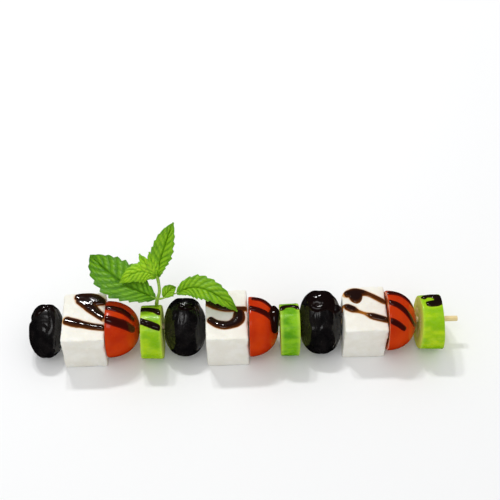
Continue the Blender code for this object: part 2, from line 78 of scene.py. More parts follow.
Olive = namedtuple("Olive", "length tilt centre_z seed")
OLIVES = {
    "olive_1": Olive(26.0 * MM, math.radians(33), 12.2 * MM, 3),
    "olive_2": Olive(28.2 * MM, math.radians(35), 12.6 * MM, 8),
    "olive_3": Olive(30.6 * MM, math.radians(36), 13.4 * MM, 14),
}
OLIVE_FULLNESS = 0.88
OLIVE_PRESSED = 0.80
OLIVE_TAPER = 0.06
OLIVE_WRINKLE = 0.055
OLIVE_WRINKLE_SCALE = 2.3
OLIVE_WRINKLE_STRETCH = 0.45
OLIVE_DIMPLE_DEPTH = 0.9 * MM
OLIVE_DIMPLE_WIDTH = 0.27
# Creases across an olive: how far along it, from -1 to 1, how deep, and on which side
OLIVE_CREASES = {
    "olive_1": ((0.34, 0.7 * MM, -1),),
    "olive_2": ((0.62, 0.35 * MM, 1),),
    "olive_3": ((-0.1, 0.3 * MM, -1),),
}
OLIVE_SWELL = 1.05  # the looks press a little fuller against their neighbours than the solids

Feta = namedtuple("Feta", "front back height cut_along cut_across lean seed")
FETAS = {
    "feta_1": Feta(-13.0 * MM, 14.0 * MM, 22.0 * MM, 0.9 * MM, 1.2 * MM, 0.3 * MM, 21),
    "feta_2": Feta(-14.4 * MM, 13.4 * MM, 22.2 * MM, 0.5 * MM, 0.6 * MM, -0.3 * MM, 34),
    "feta_3": Feta(-11.9 * MM, 13.5 * MM, 21.8 * MM, 3.6 * MM, 5.0 * MM, 0.4 * MM, 47),
}
FETA_CELLS = 4
FETA_ROUGHNESS = 0.35 * MM
FETA_LUMPS = 4.1
FETA_SWELL = 1.03  # the looks fill the row a little better than the solids

Tomato = namedtuple("Tomato", "diameter centre_y centre_z seed")
TOMATOES = {
    "tomato_1": Tomato(26.6 * MM, -1.2 * MM, 13.6 * MM, 51),
    "tomato_2": Tomato(28.2 * MM, -2.4 * MM, 14.3 * MM, 62),
    "tomato_3": Tomato(28.2 * MM, -1.0 * MM, 14.3 * MM, 73),
}
TOMATO_FULLNESS = 0.90
TOMATO_LUMPS = 0.012
TOMATO_LUMP_SCALE = 1.6
TOMATO_SLIM = 0.995  # keeps the round looks inside the solids' flat sides

Cucumber = namedtuple("Cucumber", "left_diameter right_diameter centre_y centre_z left_skew right_skew")
CUCUMBERS = {
    "cucumber_1": Cucumber(25.0 * MM, 25.6 * MM, -2.9 * MM, 13.0 * MM, 0.3 * MM, -0.4 * MM),
    "cucumber_2": Cucumber(24.4 * MM, 24.8 * MM, -3.6 * MM, 12.7 * MM, -0.3 * MM, 0.3 * MM),
    "cucumber_3": Cucumber(25.2 * MM, 26.2 * MM, -1.7 * MM, 13.3 * MM, 0.5 * MM, -0.8 * MM),
}
CUCUMBER_RIDGES = 10
CUCUMBER_RIDGE_DEPTH = 0.012
CUCUMBER_PALE_RIM = 2.2 * MM

# The glaze, as strokes of (along, across, width): along in mm from the piece's left end, across in
# mm of y on feta and in degrees from the top towards the front on round food.
GLAZE_HEIGHT = 1.0 * MM
GLAZE_HEIGHT_ROUND = 0.75 * MM  # on round food, where it runs off
GLAZE_RUNS_ON = 1.3  # in mm: a stroke that ends nearer to its piece's end runs on over it
GLAZE_WIDE = 5.5 * MM  # from here on a bead is flat on top
GLAZE_ROUND_TOP = 2.1
GLAZE_FLAT_TOP = 3.2
GLAZE_CROWN = 0.3 / MM  # a narrow bead's height is this times its half width squared
GLAZE_SLOPE = 0.78  # 0.5 is a half round bead, 1 a flatter one with a shallow edge
GLAZE_SUNK = 0.35 * MM
GLAZE_EDGE_SUNK = 0.04 * MM
GLAZE_SPREAD = 0.35 * MM  # how much further than its bead the glaze wets the food
GLAZE_BLUNT = 0.02  # keeps a stroke's end from closing to a point
GLAZE_UNEVEN = 0.12  # of its width and height
GLAZE_UNEVEN_LENGTH = 3.6 * MM
GLAZE_UNEVEN_SCALE = 200
GLAZE_STEP = 0.3 * MM
GLAZE_LEAST_STEPS = 8
GLAZE_ACROSS = 15  # points across a bead
GLAZE_VOXEL = 0.22 * MM
GLAZE_EASING = 4  # smoothing passes after melting
GLAZE_SPECK = 400  # in points: smaller loose bits of melted glaze are left out
GLAZE_NEAR = 2 * MM  # how far along the row a point of glaze looks for the food under it
STAIN = 0.6 * MM  # how far round a bead the feta is stained
GLAZE = {
    "olive_1": [[(3.9, -20, 2.2), (8.3, -36, 3.0), (13.2, -38, 2.4)]],
    "feta_1": [
        [(5.4, 11.6, 2.8), (9.0, 11.2, 5.2), (13.0, 10.2, 6.4), (17.0, 9.0, 4.8), (19.0, 8.4, 3.0)],
        [(6.8, 10.4, 3.6), (10.6, 8.0, 5.2), (14.2, 4.4, 4.8), (17.9, 0.8, 3.8), (20.3, -1.2, 3.2)],
        [(1.3, -1.0, 4.2), (6.0, -2.6, 4.2), (13.5, -4.8, 3.4), (20.0, -6.0, 2.8)],
        [(7.6, 10.6, 3.6), (11.6, 8.6, 5.8), (14.4, 7.2, 4.4)],
    ],
    "tomato_1": [
        [(0.8, -10, 2.6), (5.0, -7, 3.2), (9.0, -3, 3.4), (13.4, 10, 3.0)],
        [(0.9, 17, 3.6), (5.6, 23, 4.2), (9.8, 29, 4.2), (13.6, 42, 3.6)],
    ],
    "cucumber_1": [
        [(0.9, -9, 2.8), (4.2, -9, 2.4), (7.4, -4, 2.8), (9.9, 4, 3.0)],
        [(0.9, 22, 2.8), (5.2, 29, 3.0), (10.4, 38, 2.4)],
    ],
    "olive_2": [[(6.1, -26, 2.0), (10.1, -15, 2.6), (15.1, -22, 2.0)]],
    "feta_2": [
        [(1.2, 6.6, 3.6), (5.5, 4.1, 3.6), (10.5, 2.6, 3.2), (19.4, 2.2, 2.2)],
        [(1.3, -2.6, 3.0), (5.4, -5.6, 3.6), (10.4, -6.4, 4.2), (15.0, -3.8, 5.0), (15.6, 1.6, 4.2)],
    ],
    "tomato_2": [
        [(0.6, 5, 2.4), (4.4, 9, 2.6), (8.2, 15, 3.0), (11.0, 25, 3.6), (12.6, 38, 3.6)],
        [(1.4, -21, 2.8), (6.0, -23, 3.4), (9.5, -18, 4.6), (11.6, -6, 5.4), (12.4, 16, 5.0)],
    ],
    "cucumber_2": [[(0.8, -2, 2.6), (2.9, -12, 2.2), (6.6, -12, 2.2), (8.9, -3, 2.2)]],
    "olive_3": [
        [(2.8, -15, 2.4), (7.2, -2, 3.0), (11.7, -5, 3.0), (17.2, -16, 2.4)],
        [(3.4, -30, 9.0), (9.0, -27, 12.0), (14.5, -18, 9.0), (18.4, -6, 5.0)],
    ],
    "feta_3": [
        [(3.8, 8.2, 4.2), (6.6, 7.9, 8.2), (9.4, 9.2, 4.4)],
        [(1.5, 8.9, 2.6), (4.4, 9.6, 4.4), (7.8, 10.1, 4.2), (12.8, 8.9, 2.1), (20.0, 4.2, 2.2)],
        [
            (1.3, 2.7, 2.6), (4.6, 0.9, 3.2), (7.4, -0.6, 1.5),
            (10.2, -1.9, 1.2), (14.2, -3.7, 3.4), (20.0, -5.9, 2.8),
        ],
    ],
    "tomato_3": [
        [(0.8, -24, 3.0), (5.8, -25, 3.6), (9.8, -19, 4.2), (12.4, -6, 3.8)],
        [(0.8, 1, 2.6), (5.2, 9, 2.6), (9.4, 25, 2.8), (13.0, 54, 3.4)],
        [(0.9, 35, 2.2), (4.2, 42, 2.4), (7.6, 53, 2.0)],
    ],
    "cucumber_3": [
        [
            (2.2, -17, 2.2), (4.6, -27, 2.6), (8.0, -25, 3.6),
            (10.0, -13, 4.8), (8.4, -2, 4.4), (3.4, 0, 3.0),
        ],
    ],
}

# Where glaze runs on across a joint: piece and stroke on both sides
STRANDS = [(("olive_3", 1), ("feta_3", 2))]
STRAND_OVERLAP = 6  # how many steps of each stroke a strand covers
STRAND_STEPS = 22
STRAND_SUNK = 0.3 * MM
STRAND_SLIM = 0.9  # its width as a share of the strokes'
STRAND_FLATNESS = 0.75
# Glaze caught behind a tomato: from and to, in degrees from the top towards the front, how far it
# lies from the stick, how far before the joint, and its radius
CAUGHT = {
    "tomato_2": (-22, 44, 10.0 * MM, 2.4 * MM, 2.6 * MM),
}
CAUGHT_TAPER = 0.45
CAUGHT_UNEVEN = 0.1
CAUGHT_WAVES = 4

MINT_RESTS_ON = "cucumber_1"
MINT_STEM_DIAMETER = 2.0 * MM
MINT_PETIOLE_DIAMETER = 1.3 * MM
MINT_STEM = [(8.2, 5.0, 24.1), (8.8, 4.6, 28.4), (9.9, 7.0, 31.0), (9.6, 10.3, 33.4), (9.1, 12.2, 35.2)]
MINT_PETIOLES = [
    [(8.8, 4.6, 28.6), (7.9, 4.7, 29.3), (6.0, 5.3, 30.1)],
    [(8.8, 4.6, 28.6), (11.3, 4.2, 29.6), (14.5, 5.2, 30.3), (18.5, 6.4, 30.7)],
]
Leaf = namedtuple("Leaf", "route width widest blunt facing fold wave teeth youth")
MINT_LEAVES = [
    Leaf(
        [(8.1, 4.3, 29.5), (0.6, 7.4, 31.0), (-8.0, 12.7, 31.8), (-16.0, 20.9, 31.2), (-23.4, 31.0, 29.2)],
        20.5, 0.5, 2.1, (-0.12, -0.16, 1.0), 8, 0.5, 10, 0.0,
    ),
    Leaf(
        [(17.7, 6.0, 30.6), (23.7, 8.0, 31.8), (30.3, 7.3, 31.6), (37.9, 3.8, 29.2), (45.5, -0.4, 24.4)],
        13.0, 0.38, 2.2, (0.1, -0.25, 1.0), 16, 0.4, 10, 0.45,
    ),
    Leaf(
        [(11.7, 4.5, 29.8), (14.3, 7.2, 31.0), (17.4, 9.7, 30.9)],
        7.0, 0.42, 1.5, (0.1, -0.3, 1.0), 14, 0.3, 5, 0.5,
    ),
    Leaf(
        [(9.1, 12.2, 35.0), (4.7, 13.6, 37.4), (-1.3, 13.2, 37.2), (-8.3, 10.4, 34.0)],
        10.5, 0.42, 2.2, (-0.1, -0.5, 1.0), -10, 0.5, 8, 0.85,
    ),
    Leaf(
        [(9.5, 12.2, 35.0), (10.6, 16.6, 40.4), (13.6, 23.2, 46.2), (17.0, 31.0, 51.5)],
        12.0, 0.45, 2.4, (-0.5, -1.0, 0.55), 20, 0.5, 9, 0.4,
    ),
    Leaf(
        [(9.1, 12.2, 35.0), (5.3, 15.4, 38.8), (1.0, 20.4, 42.2)],
        6.6, 0.4, 2.0, (-0.3, -1.0, 0.9), 14, 0.3, 5, 1.0,
    ),
    Leaf(
        [(9.3, 12.3, 35.4), (7.3, 15.6, 39.4), (5.9, 20.2, 43.8)],
        6.0, 0.4, 2.0, (0.0, -1.0, 0.8), 14, 0.2, 5, 0.9,
    ),
]
MINT_STEM_SLIMMING = 0.15
MINT_PETIOLE_SLIMMING = 0.5
MINT_GIRTH = 0.84  # as a share of its diameter, with waves on it: how high, and radians end to end
MINT_FINE_WAVES = (0.03, 17)
MINT_LONG_WAVES = (0.05, 6.3)
LEAF_BASE_ROUNDING = 0.6
LEAF_WAVES = 3.2
LEAF_LEAST_WIDTH = 0.9 * MM
TINY = 1e-6

# ---- fineness and relief of the looks

# What Grain.dents takes is lumps to a metre, how deep they go, and octaves if there are more than 1.
# Other pairs of numbers are where a blend begins and ends.
STEP = 0.42 * MM  # edge length of the finest surfaces
ROUND_SIDES = 190
ROUNDING = 3  # easing passes on a turned profile
TUBE_SIDES = 16
TUBE_STEPS = 24
TUBE_CAP = (0.25, 1.4, 4)  # turns of a round end's rings, from and to, and how many there are
SHARP = math.radians(50)  # edges that fold by more than this stay sharp

OLIVE_CELLS = 46  # along each edge of the cube that becomes its ball
OLIVE_STRETCH = 0.35  # its grain runs along it
OLIVE_FOLD_SCALE = 150
OLIVE_FOLD_DEPTH = 0.30 * MM
OLIVE_SMOOTH = 0.80  # the share of its skin between the folds
OLIVE_DENTS = (170, 0.30 * MM)
OLIVE_PORES = (700, 0.03 * MM, 2)
OLIVE_PRESSED_END = (1.0, 0.8)
OLIVE_CREASE_WIDTH = 0.09
OLIVE_CREASE_BEND = 0.05
OLIVE_CREASE_FADE = (-0.5, 0.6)
OLIVE_MARGIN = 0.12 * MM

FETA_SOFTNESS = 0.3 * MM  # of its edges
FETA_HALVINGS = 24
FETA_MARGIN = 0.1 * MM
FETA_PITS = ((620, 0.52, 0.85, 0.28 * MM), (330, 0.62, 0.90, 0.35 * MM))  # scale, blend, depth
FETA_GRAIN = (900, 0.05 * MM, 2)
FETA_RIM = (0.90, 1.0)
FETA_CHIP_SCALE = 420
FETA_CHIPS = (-0.1, 0.75)
FETA_CHIP_DEPTH = 0.38 * MM
FETA_FOOT = (0.1 * MM, 1.2 * MM)  # its underside stays flat

TOMATO_RINGS = 52
TOMATO_FACE = (0.6 * MM, 0.1 * MM)
TOMATO_WALL = (0.86, 0.74)  # as shares of its radius, as the cucumber's rings are
TOMATO_HOLLOW = 0.5 * MM
TOMATO_HOLLOW_SCALE = 260
TOMATO_UNEVEN = 0.45
TOMATO_CUT = (0.9 * MM, 0.5 * MM)  # what is painted as flesh, from its left end
TOMATO_CUT_EDGE = 0.99

CUCUMBER_FACE = (0.44, 0.49)  # as shares of its thickness
CUCUMBER_RIND = 0.97
CUCUMBER_CUT = (0.45, 0.8)  # how far its cut face has to face along X
CUCUMBER_CUT_EDGE = 0.985
CUCUMBER_STRETCH = 0.45
CUCUMBER_BUMPS = (420, 0.16 * MM, 2)
CUCUMBER_SLIM = 0.04 * MM
CUCUMBER_WET = (350, 0.05 * MM)
CUCUMBER_CORE = (0.66, 0.50)
CUCUMBER_CORE_DEPTH = 0.10 * MM
SEED_LOBES = 3
SEEDS_BESIDE = 3  # on each side of a lobe's middle seed
SEED_TURN = 0.24
SEED_OUT = 0.50
SEED_CURVE = 0.05  # how much further in the seeds beside it lie
SEED_SHIFT = 0.03  # how unevenly they lie
SEED_SHIFT_WAVES = 5
SEED_LENGTH = 0.12
SEED_WIDTH = 0.045
SEED_RISE = (1.0, 0.6)  # from its edge inwards, as squared shares of its size
SEED_HEIGHT = 0.10 * MM

LEAF_THICKNESS = 0.4 * MM
LEAF_STEP = 0.26 * MM
LEAF_LEAST_STEPS = 10  # from the midrib to the edge
LEAF_ROWS = 15  # to a tooth
LEAF_NEARBY = 0.001
LEAF_TOOTH_DEPTH = 0.15  # as a share of the half width
LEAF_TOOTH_TIP = 0.78  # how far along itself a tooth has its tip
LEAF_VEIN_LEAN = 0.42
LEAF_SPARE_VEINS = 3  # past each end
LEAF_QUILT = 0.75 * MM  # how far the blade bulges between its veins
LEAF_CELLS = 4.5  # bulges from the midrib to the edge
LEAF_CELL_DEPTH = 0.45
LEAF_CALM_WIDTH = 2.5 * MM  # a narrower blade is calmer
LEAF_CALM_ENDS = 8
LEAF_CALM_TIP = 0.15
LEAF_FLAT_MIDDLE = 9
LEAF_RIB_DEPTH = 0.35 * MM
LEAF_RIB_WIDTH = 0.5 * MM
LEAF_MIDRIB_WIDTH = 0.32 * MM
LEAF_VEIN = (0.26, 0.0)
LEAF_WEB = 0.45
LEAF_GRAIN_SCALE = 520
LEAF_GRAIN_DEPTH = 0.08 * MM
LEAF_LOWERED = 0.15 * MM

STICK_SIDES = 32
STICK_RINGS = 150
STICK_POINT_RINGS = 6
STICK_FLATS = 0.03  # how deep, as a share of its radius, as the fibres are
STICK_FLAT_COUNT = 3
STICK_FIBRES = 0.015
STICK_FIBRE_COUNT = 11
STICK_FIBRE_TWIST = 300  # radians in a metre
STICK_BEVEL = (0.12 * MM, 0.15 * MM)  # along and across
STICK_HOLLOW = 0.05 * MM
BORE_SIDES = 24
BORE_SLACK = 0.6  # of the touching gap, round the stick

STROKE_SEEDS = 100  # to a piece
RIBBON_SEEDS = 900
LEAF_SEEDS = 400
OUTSIDE = 60 * MM  # clear of every food
NEVER_ZERO = 1e-30
MICRONS = 1e6  # in a metre


# ---- numbers

def fuller(share, fullness):
    """Moves a share between -1 and 1 away from 0, which squares off a rounded form."""
    return np.copysign(np.abs(share) ** fullness, share)


def as_share(wave):
    """A wave between -1 and 1 as a share between 0 and 1."""
    return 0.5 + 0.5 * wave


def unit(vectors):
    """The vectors with a length of 1."""
    return vectors / np.maximum(np.linalg.norm(vectors, axis=-1, keepdims=True), NEVER_ZERO)


def lumps(places, scale, seed):
    """The solids' own smooth unevenness, between 0 and 1, at each place."""
    shift = Vector((seed, 0.37 * seed, -0.71 * seed))
    return as_share(np.array([noise.noise(Vector(p) * scale + shift) for p in places]))


def cell_corners(share):
    """The corners of a cell, each with its weight at places that lie at this share of the cell."""
    for corner in np.ndindex(2, 2, 2):
        offset = np.array(corner)
        yield offset, np.where(offset, share, 1 - share).prod(axis=1)


class Grain:
    """Seeded gradient noise on arrays of places, between about -1 and 1."""

    size = 512
    strength = 1.5

    def __init__(self, seed):
        random = np.random.RandomState(seed)
        self.table = random.permutation(self.size)
        self.ways = unit(random.normal(size=(self.size, 3))) * self.strength

    def corner(self, cell, inside, offset):
        mixed = 0
        for steps in (cell + offset).T:
            mixed = self.table[(mixed + steps) % self.size]
        return (self.ways[mixed] * (inside - offset)).sum(axis=1)

    def at(self, places, scale):
        """Noise whose lumps are about 1 / scale across."""
        p = np.asarray(places) * scale
        cell = np.floor(p).astype(int)
        inside = p - cell
        eased = inside**3 * (inside * (inside * 6 - 15) + 10)
        return sum(weight * self.corner(cell, inside, offset) for offset, weight in cell_corners(eased))

    def rough(self, places, scale, octaves):
        return sum(self.at(places, scale * 2**o) / 2**o for o in range(octaves))

    def dents(self, places, scale, depth, octaves=1):
        """Noise as a depth, from 0 to about the depth given."""
        return depth * as_share(self.rough(places, scale, octaves))


def smoothstep(low, high, value):
    t = np.clip((value - low) / (high - low), 0.0, 1.0)
    return t * t * (3 - 2 * t)


def on_route(points, share):
    """The point at a share of the way along a smooth curve through the points."""
    spans = len(points) - 1
    place = min(share * spans, spans - TINY)
    first = int(place)
    t = place - first
    b, c = np.array(points[first], float), np.array(points[first + 1], float)
    a = np.array(points[first - 1], float) if first > 0 else 2 * b - c
    d = np.array(points[first + 2], float) if first + 2 <= spans else 2 * c - b
    return 0.5 * (2 * b + (c - a) * t + (2 * a - 5 * b + 4 * c - d) * t**2 + (3 * b - a - 3 * c + d) * t**3)


# ---- meshes as arrays

def merged(points, tris):
    """The same triangles with shared corners, and without those that have no area."""
    _, first, inverse = np.unique(np.round(points, 9), axis=0, return_index=True, return_inverse=True)
    tris = inverse.reshape(-1)[tris]
    good = (tris[:, 0] != tris[:, 1]) & (tris[:, 1] != tris[:, 2]) & (tris[:, 2] != tris[:, 0])
    return points[first], tris[good]


def grid_tris(rows, columns):
    """Triangles of a grid of rows x columns points, numbered row by row."""
    i, j = np.meshgrid(np.arange(rows - 1), np.arange(columns - 1), indexing="ij")
    a = (i * columns + j).ravel()
    b, c, d = a + 1, a + columns + 1, a + columns
    return np.concatenate([np.stack([a, b, c], 1), np.stack([a, c, d], 1)])


def box_grid(counts):
    """The surface of a cube from -0.5 to 0.5, as a grid with these counts along x, y and z."""
    points, tris, used = [], [], 0
    for axis in range(3):
        first, second = (axis + 1) % 3, (axis + 2) % 3
        for side in (-0.5, 0.5):
            u = np.linspace(-0.5, 0.5, counts[first] + 1)
            v = np.linspace(-0.5, 0.5, counts[second] + 1)
            uu, vv = np.meshgrid(u, v, indexing="ij")
            face = np.zeros((uu.size, 3))
            face[:, axis] = side
            face[:, first] = uu.ravel()
            face[:, second] = vv.ravel()
            found = grid_tris(len(u), len(v))
            tris.append((found if side < 0 else found[:, ::-1]) + used)
            points.append(face)
            used += len(face)
    return merged(np.concatenate(points), np.concatenate(tris))


def ball_grid(count):
    """A unit ball whose triangles are all of about the same size."""
    points, tris = box_grid((count, count, count))
    return unit(np.tan(points * math.pi / 2)), tris


def outward(points, tris):
    """The triangles turned so that the closed form faces out."""
    a, b, c = (points[tris[:, i]] - points.mean(axis=0) for i in range(3))
    return tris if (np.cross(a, b) * c).sum() > 0 else tris[:, ::-1]


def normals_of(points, tris):
    """The way out of the form at each point."""
    a, b, c = (points[tris[:, i]] for i in range(3))
    flat = np.cross(b - a, c - a)
    total = np.zeros_like(points)
    for i in range(3):
        np.add.at(total, tris[:, i], flat)
    return unit(total)


def tube(start, rings, end):
    """A closed form through rings of points, with one point at each end."""
    sides = len(rings[0])
    turn = np.arange(sides)
    after = (turn + 1) % sides
    last = 1 + (len(rings) - 1) * sides
    tris = [np.stack([np.zeros(sides, int), 1 + after, 1 + turn], 1)]
    for a in range(1, last, sides):
        b = a + sides
        tris.append(np.stack([a + turn, a + after, b + after], 1))
        tris.append(np.stack([a + turn, b + after, b + turn], 1))
    tris.append(np.stack([last + turn, last + after, np.full(sides, last + sides)], 1))
    points = np.concatenate([[start], *rings, [end]])
    return points, outward(points, np.concatenate(tris))


def lathe(profile, sides):
    """A closed form turned round X: profile is rows of (x, radius), and both ends meet the axis."""
    angles = np.arange(sides) * 2 * math.pi / sides
    circle = np.stack([np.zeros(sides), np.sin(angles), np.cos(angles)], 1)
    rings = [circle * r + [x, 0, 0] for x, r in profile[1:-1]]
    return tube((profile[0][0], 0, 0), rings, (profile[-1][0], 0, 0))


def sweep(route, radii, squash=1.0):
    """A round-ended tube along the route. squash is its height as a share of its width."""
    ahead = unit(np.gradient(route, axis=0))
    across = unit(np.cross(ahead, [0, 0, 1.0]))
    up = np.cross(across, ahead)
    turns = np.linspace(*TUBE_CAP)
    stations = [(0, -radii[0] * math.cos(t), math.sin(t)) for t in turns]
    stations += [(i, 0.0, 1.0) for i in range(len(route))]
    stations += [(len(route) - 1, radii[-1] * math.cos(t), math.sin(t)) for t in turns[::-1]]
    angles = np.arange(TUBE_SIDES) * 2 * math.pi / TUBE_SIDES
    rings = []
    for i, shift, size in stations:
        ring = np.outer(np.cos(angles), across[i]) + np.outer(np.sin(angles), up[i]) * squash
        rings.append(route[i] + ahead[i] * shift + ring * radii[i] * size)
    return tube(route[0] - ahead[0] * radii[0], rings, route[-1] + ahead[-1] * radii[-1])


def skin(top, bottom, tris):
    """A closed form from a sheet's two faces."""
    size = len(top)
    # on the rim no other triangle runs back along an edge
    edges = np.concatenate([tris[:, [0, 1]], tris[:, [1, 2]], tris[:, [2, 0]]])
    rim = edges[~np.isin(edges @ [1, size], edges @ [size, 1])]
    a, b = rim.T
    sides = np.concatenate([np.stack([b, a, a + size], 1), np.stack([b, a + size, b + size], 1)])
    return np.concatenate([top, bottom]), np.concatenate([tris, tris[:, ::-1] + size, sides])


class Pile:
    """Closed forms gathered into one mesh, with numbers for each point."""

    def __init__(self):
        self.points, self.tris, self.marks, self.count = [], [], {}, 0

    def add(self, points, tris, **marks):
        self.points.append(points)
        self.tris.append(tris + self.count)
        self.count += len(points)
        for name, values in marks.items():
            values = np.broadcast_to(np.asarray(values, float), (len(points),))
            self.marks.setdefault(name, []).append(values)

    def made(self, name):
        points, tris = np.concatenate(self.points), np.concatenate(self.tris)
        marks = {key: np.concatenate(values) for key, values in self.marks.items()}
        return piece(name, points, tris, **marks)


def mark(obj, **marks):
    """Numbers or vectors on the object's points, which its material reads."""
    for name, values in marks.items():
        values = np.asarray(values, np.float32)
        kind, key = ("FLOAT", "value") if values.ndim == 1 else ("FLOAT_VECTOR", "vector")
        obj.data.attributes.new(name, kind, "POINT").data.foreach_set(key, values.ravel())


def added(name, data):
    """A new object in the scene."""
    obj = bpy.data.objects.new(name, data)
    bpy.context.scene.collection.objects.link(obj)
    return obj


def piece(name, points, tris, **marks):
    mesh = bpy.data.meshes.new(name)
    mesh.from_pydata(points.tolist(), [], tris.tolist())
    mesh.shade_smooth()
    obj = added(name, mesh)
    mark(obj, **marks)
    return obj


def point_vectors(obj, key="co"):
    """The places of the object's points, or with "normal" their ways out."""
    flat = np.empty(len(obj.data.vertices) * 3, np.float32)
    obj.data.vertices.foreach_get(key, flat)
    return flat.reshape(-1, 3).astype(float)


def applied(obj):
    """Makes the object's modifiers part of its mesh."""
    bpy.context.view_layer.update()
    mesh = bpy.data.meshes.new_from_object(obj.evaluated_get(bpy.context.evaluated_depsgraph_get()))
    old = obj.data
    obj.modifiers.clear()
    obj.data = mesh
    mesh.name = old.name
    bpy.data.meshes.remove(old)
    mesh.materials.clear()
    mesh.shade_smooth()
    return mesh


def bored(obj, bore):
    """Cuts the hole for the stick."""
    cut = obj.modifiers.new("bore", "BOOLEAN")
    cut.operation = "DIFFERENCE"
    cut.object = bore
    cut.solver = "MANIFOLD"
    applied(obj).set_sharp_from_angle(angle=SHARP)
    return obj


# ---- the row

def row_starts():
    """Where each piece starts along X, with the middle of the middle block at 0."""
    starts, reached = {}, 0.0
    for name, length in LENGTHS.items():
        starts[name] = reached
        reached += length
    middle = starts[MIDDLE_BLOCK] + LENGTHS[MIDDLE_BLOCK] / 2
    return {name: start - middle for name, start in starts.items()}


STARTS = row_starts()
ROW_START = min(STARTS.values())


def kind_of(name):
    return name.split("_")[0]


# ---- forms of the foods

def olive_form(name):
    kind, length = OLIVES[name], LENGTHS[name]
    half = (length - TOUCHING_GAP) / 2
    way, tris = ball_grid(OLIVE_CELLS)
    off_axis = np.maximum(np.linalg.norm(way[:, :2], axis=1), TINY)
    girth = half * (1 - OLIVE_TAPER * as_share(way[:, 2])) * fuller(off_axis, OLIVE_FULLNESS)
    girth *= 1 - OLIVE_WRINKLE * lumps(way * [1, 1, OLIVE_WRINKLE_STRETCH], OLIVE_WRINKLE_SCALE, kind.seed)
    dimple = (way[:, 2] > 0) * OLIVE_DIMPLE_DEPTH * np.exp(-((off_axis / OLIVE_DIMPLE_WIDTH) ** 2))
    shaped = np.stack([
        girth * fuller(way[:, 0] / off_axis, OLIVE_PRESSED),
        girth * way[:, 1] / off_axis,
        kind.length / 2 * fuller(way[:, 2], OLIVE_FULLNESS) - dimple,
    ], 1)
    shaped[:, 0] *= half / np.abs(shaped[:, 0]).max()
    tris = outward(shaped, tris)
    ways = normals_of(shaped, tris)
    grain = Grain(kind.seed)
    along = shaped * [1, 1, OLIVE_STRETCH]
    folds = 1 - np.abs(grain.rough(along, OLIVE_FOLD_SCALE, 2))
    shrink = OLIVE_FOLD_DEPTH * np.clip(folds - OLIVE_SMOOTH, 0, 1) / (1 - OLIVE_SMOOTH)
    shrink += grain.dents(shaped, *OLIVE_DENTS) + grain.dents(along, *OLIVE_PORES)
    shrink *= smoothstep(*OLIVE_PRESSED_END, np.abs(shaped[:, 0]) / half)
    shaped -= ways * shrink[:, None]
    for height, depth, side in OLIVE_CREASES[name]:
        bend = OLIVE_CREASE_BEND * np.sin(3 * np.arctan2(shaped[:, 1], shaped[:, 0]))
        groove = np.exp(-(((way[:, 2] - height - bend) / OLIVE_CREASE_WIDTH) ** 2))
        groove *= smoothstep(*OLIVE_CREASE_FADE, side * way[:, 0])
        shaped -= ways * (depth * groove)[:, None]
    shaped[:, 0] = np.clip(shaped[:, 0] * OLIVE_SWELL, OLIVE_MARGIN - half, half)
    lean = np.array(Matrix.Rotation(kind.tilt - math.radians(90), 3, "X"))
    return shaped @ lean.T + [STARTS[name] + length / 2, 0, kind.centre_z], tris


def cut_block(kind, size, middle, share):
    """Places on a block with soft edges and one cut corner, at these shares of its size."""
    # pulled in along lines to the middle until they lie on the soft planes of the block
    cut_way = unit(np.array([-kind.cut_across, kind.cut_along, 0.0]))
    corner = np.array([kind.cut_along, kind.back, 0.0])
    whole = share * size
    low, high = np.zeros(len(share)), np.ones(len(share))
    for _ in range(FETA_HALVINGS):
        mid = (low + high) / 2
        place = whole * mid[:, None]
        planes = [np.abs(place[:, i]) - size[i] / 2 for i in range(3)]
        planes.append((place + middle - corner) @ cut_way)
        outside = sum(np.exp(beyond / FETA_SOFTNESS) for beyond in planes) > 1
        high = np.where(outside, mid, high)
        low = np.where(outside, low, mid)
    return whole * low[:, None]


def feta_lumps(kind, share):
    """How far the solids' own lumps move places at these shares of the block's size."""
    ticks = np.linspace(-0.5, 0.5, FETA_CELLS + 1)
    lattice = np.array([(x, y, z) for x in ticks for y in ticks for z in ticks])
    shift = np.stack([2 * lumps(lattice, FETA_LUMPS, kind.seed + step) - 1 for step in range(3)], 1)
    # the underside stays flat
    shift[lattice[:, 2] < TINY - 0.5, 2] = 0.0
    shift = shift.reshape(FETA_CELLS + 1, FETA_CELLS + 1, FETA_CELLS + 1, 3) * FETA_ROUGHNESS
    where = np.clip((share + 0.5) * FETA_CELLS, 0, FETA_CELLS - TINY)
    cell = where.astype(int)
    return sum(
        weight[:, None] * shift[tuple((cell + offset).T)] for offset, weight in cell_corners(where - cell)
    )


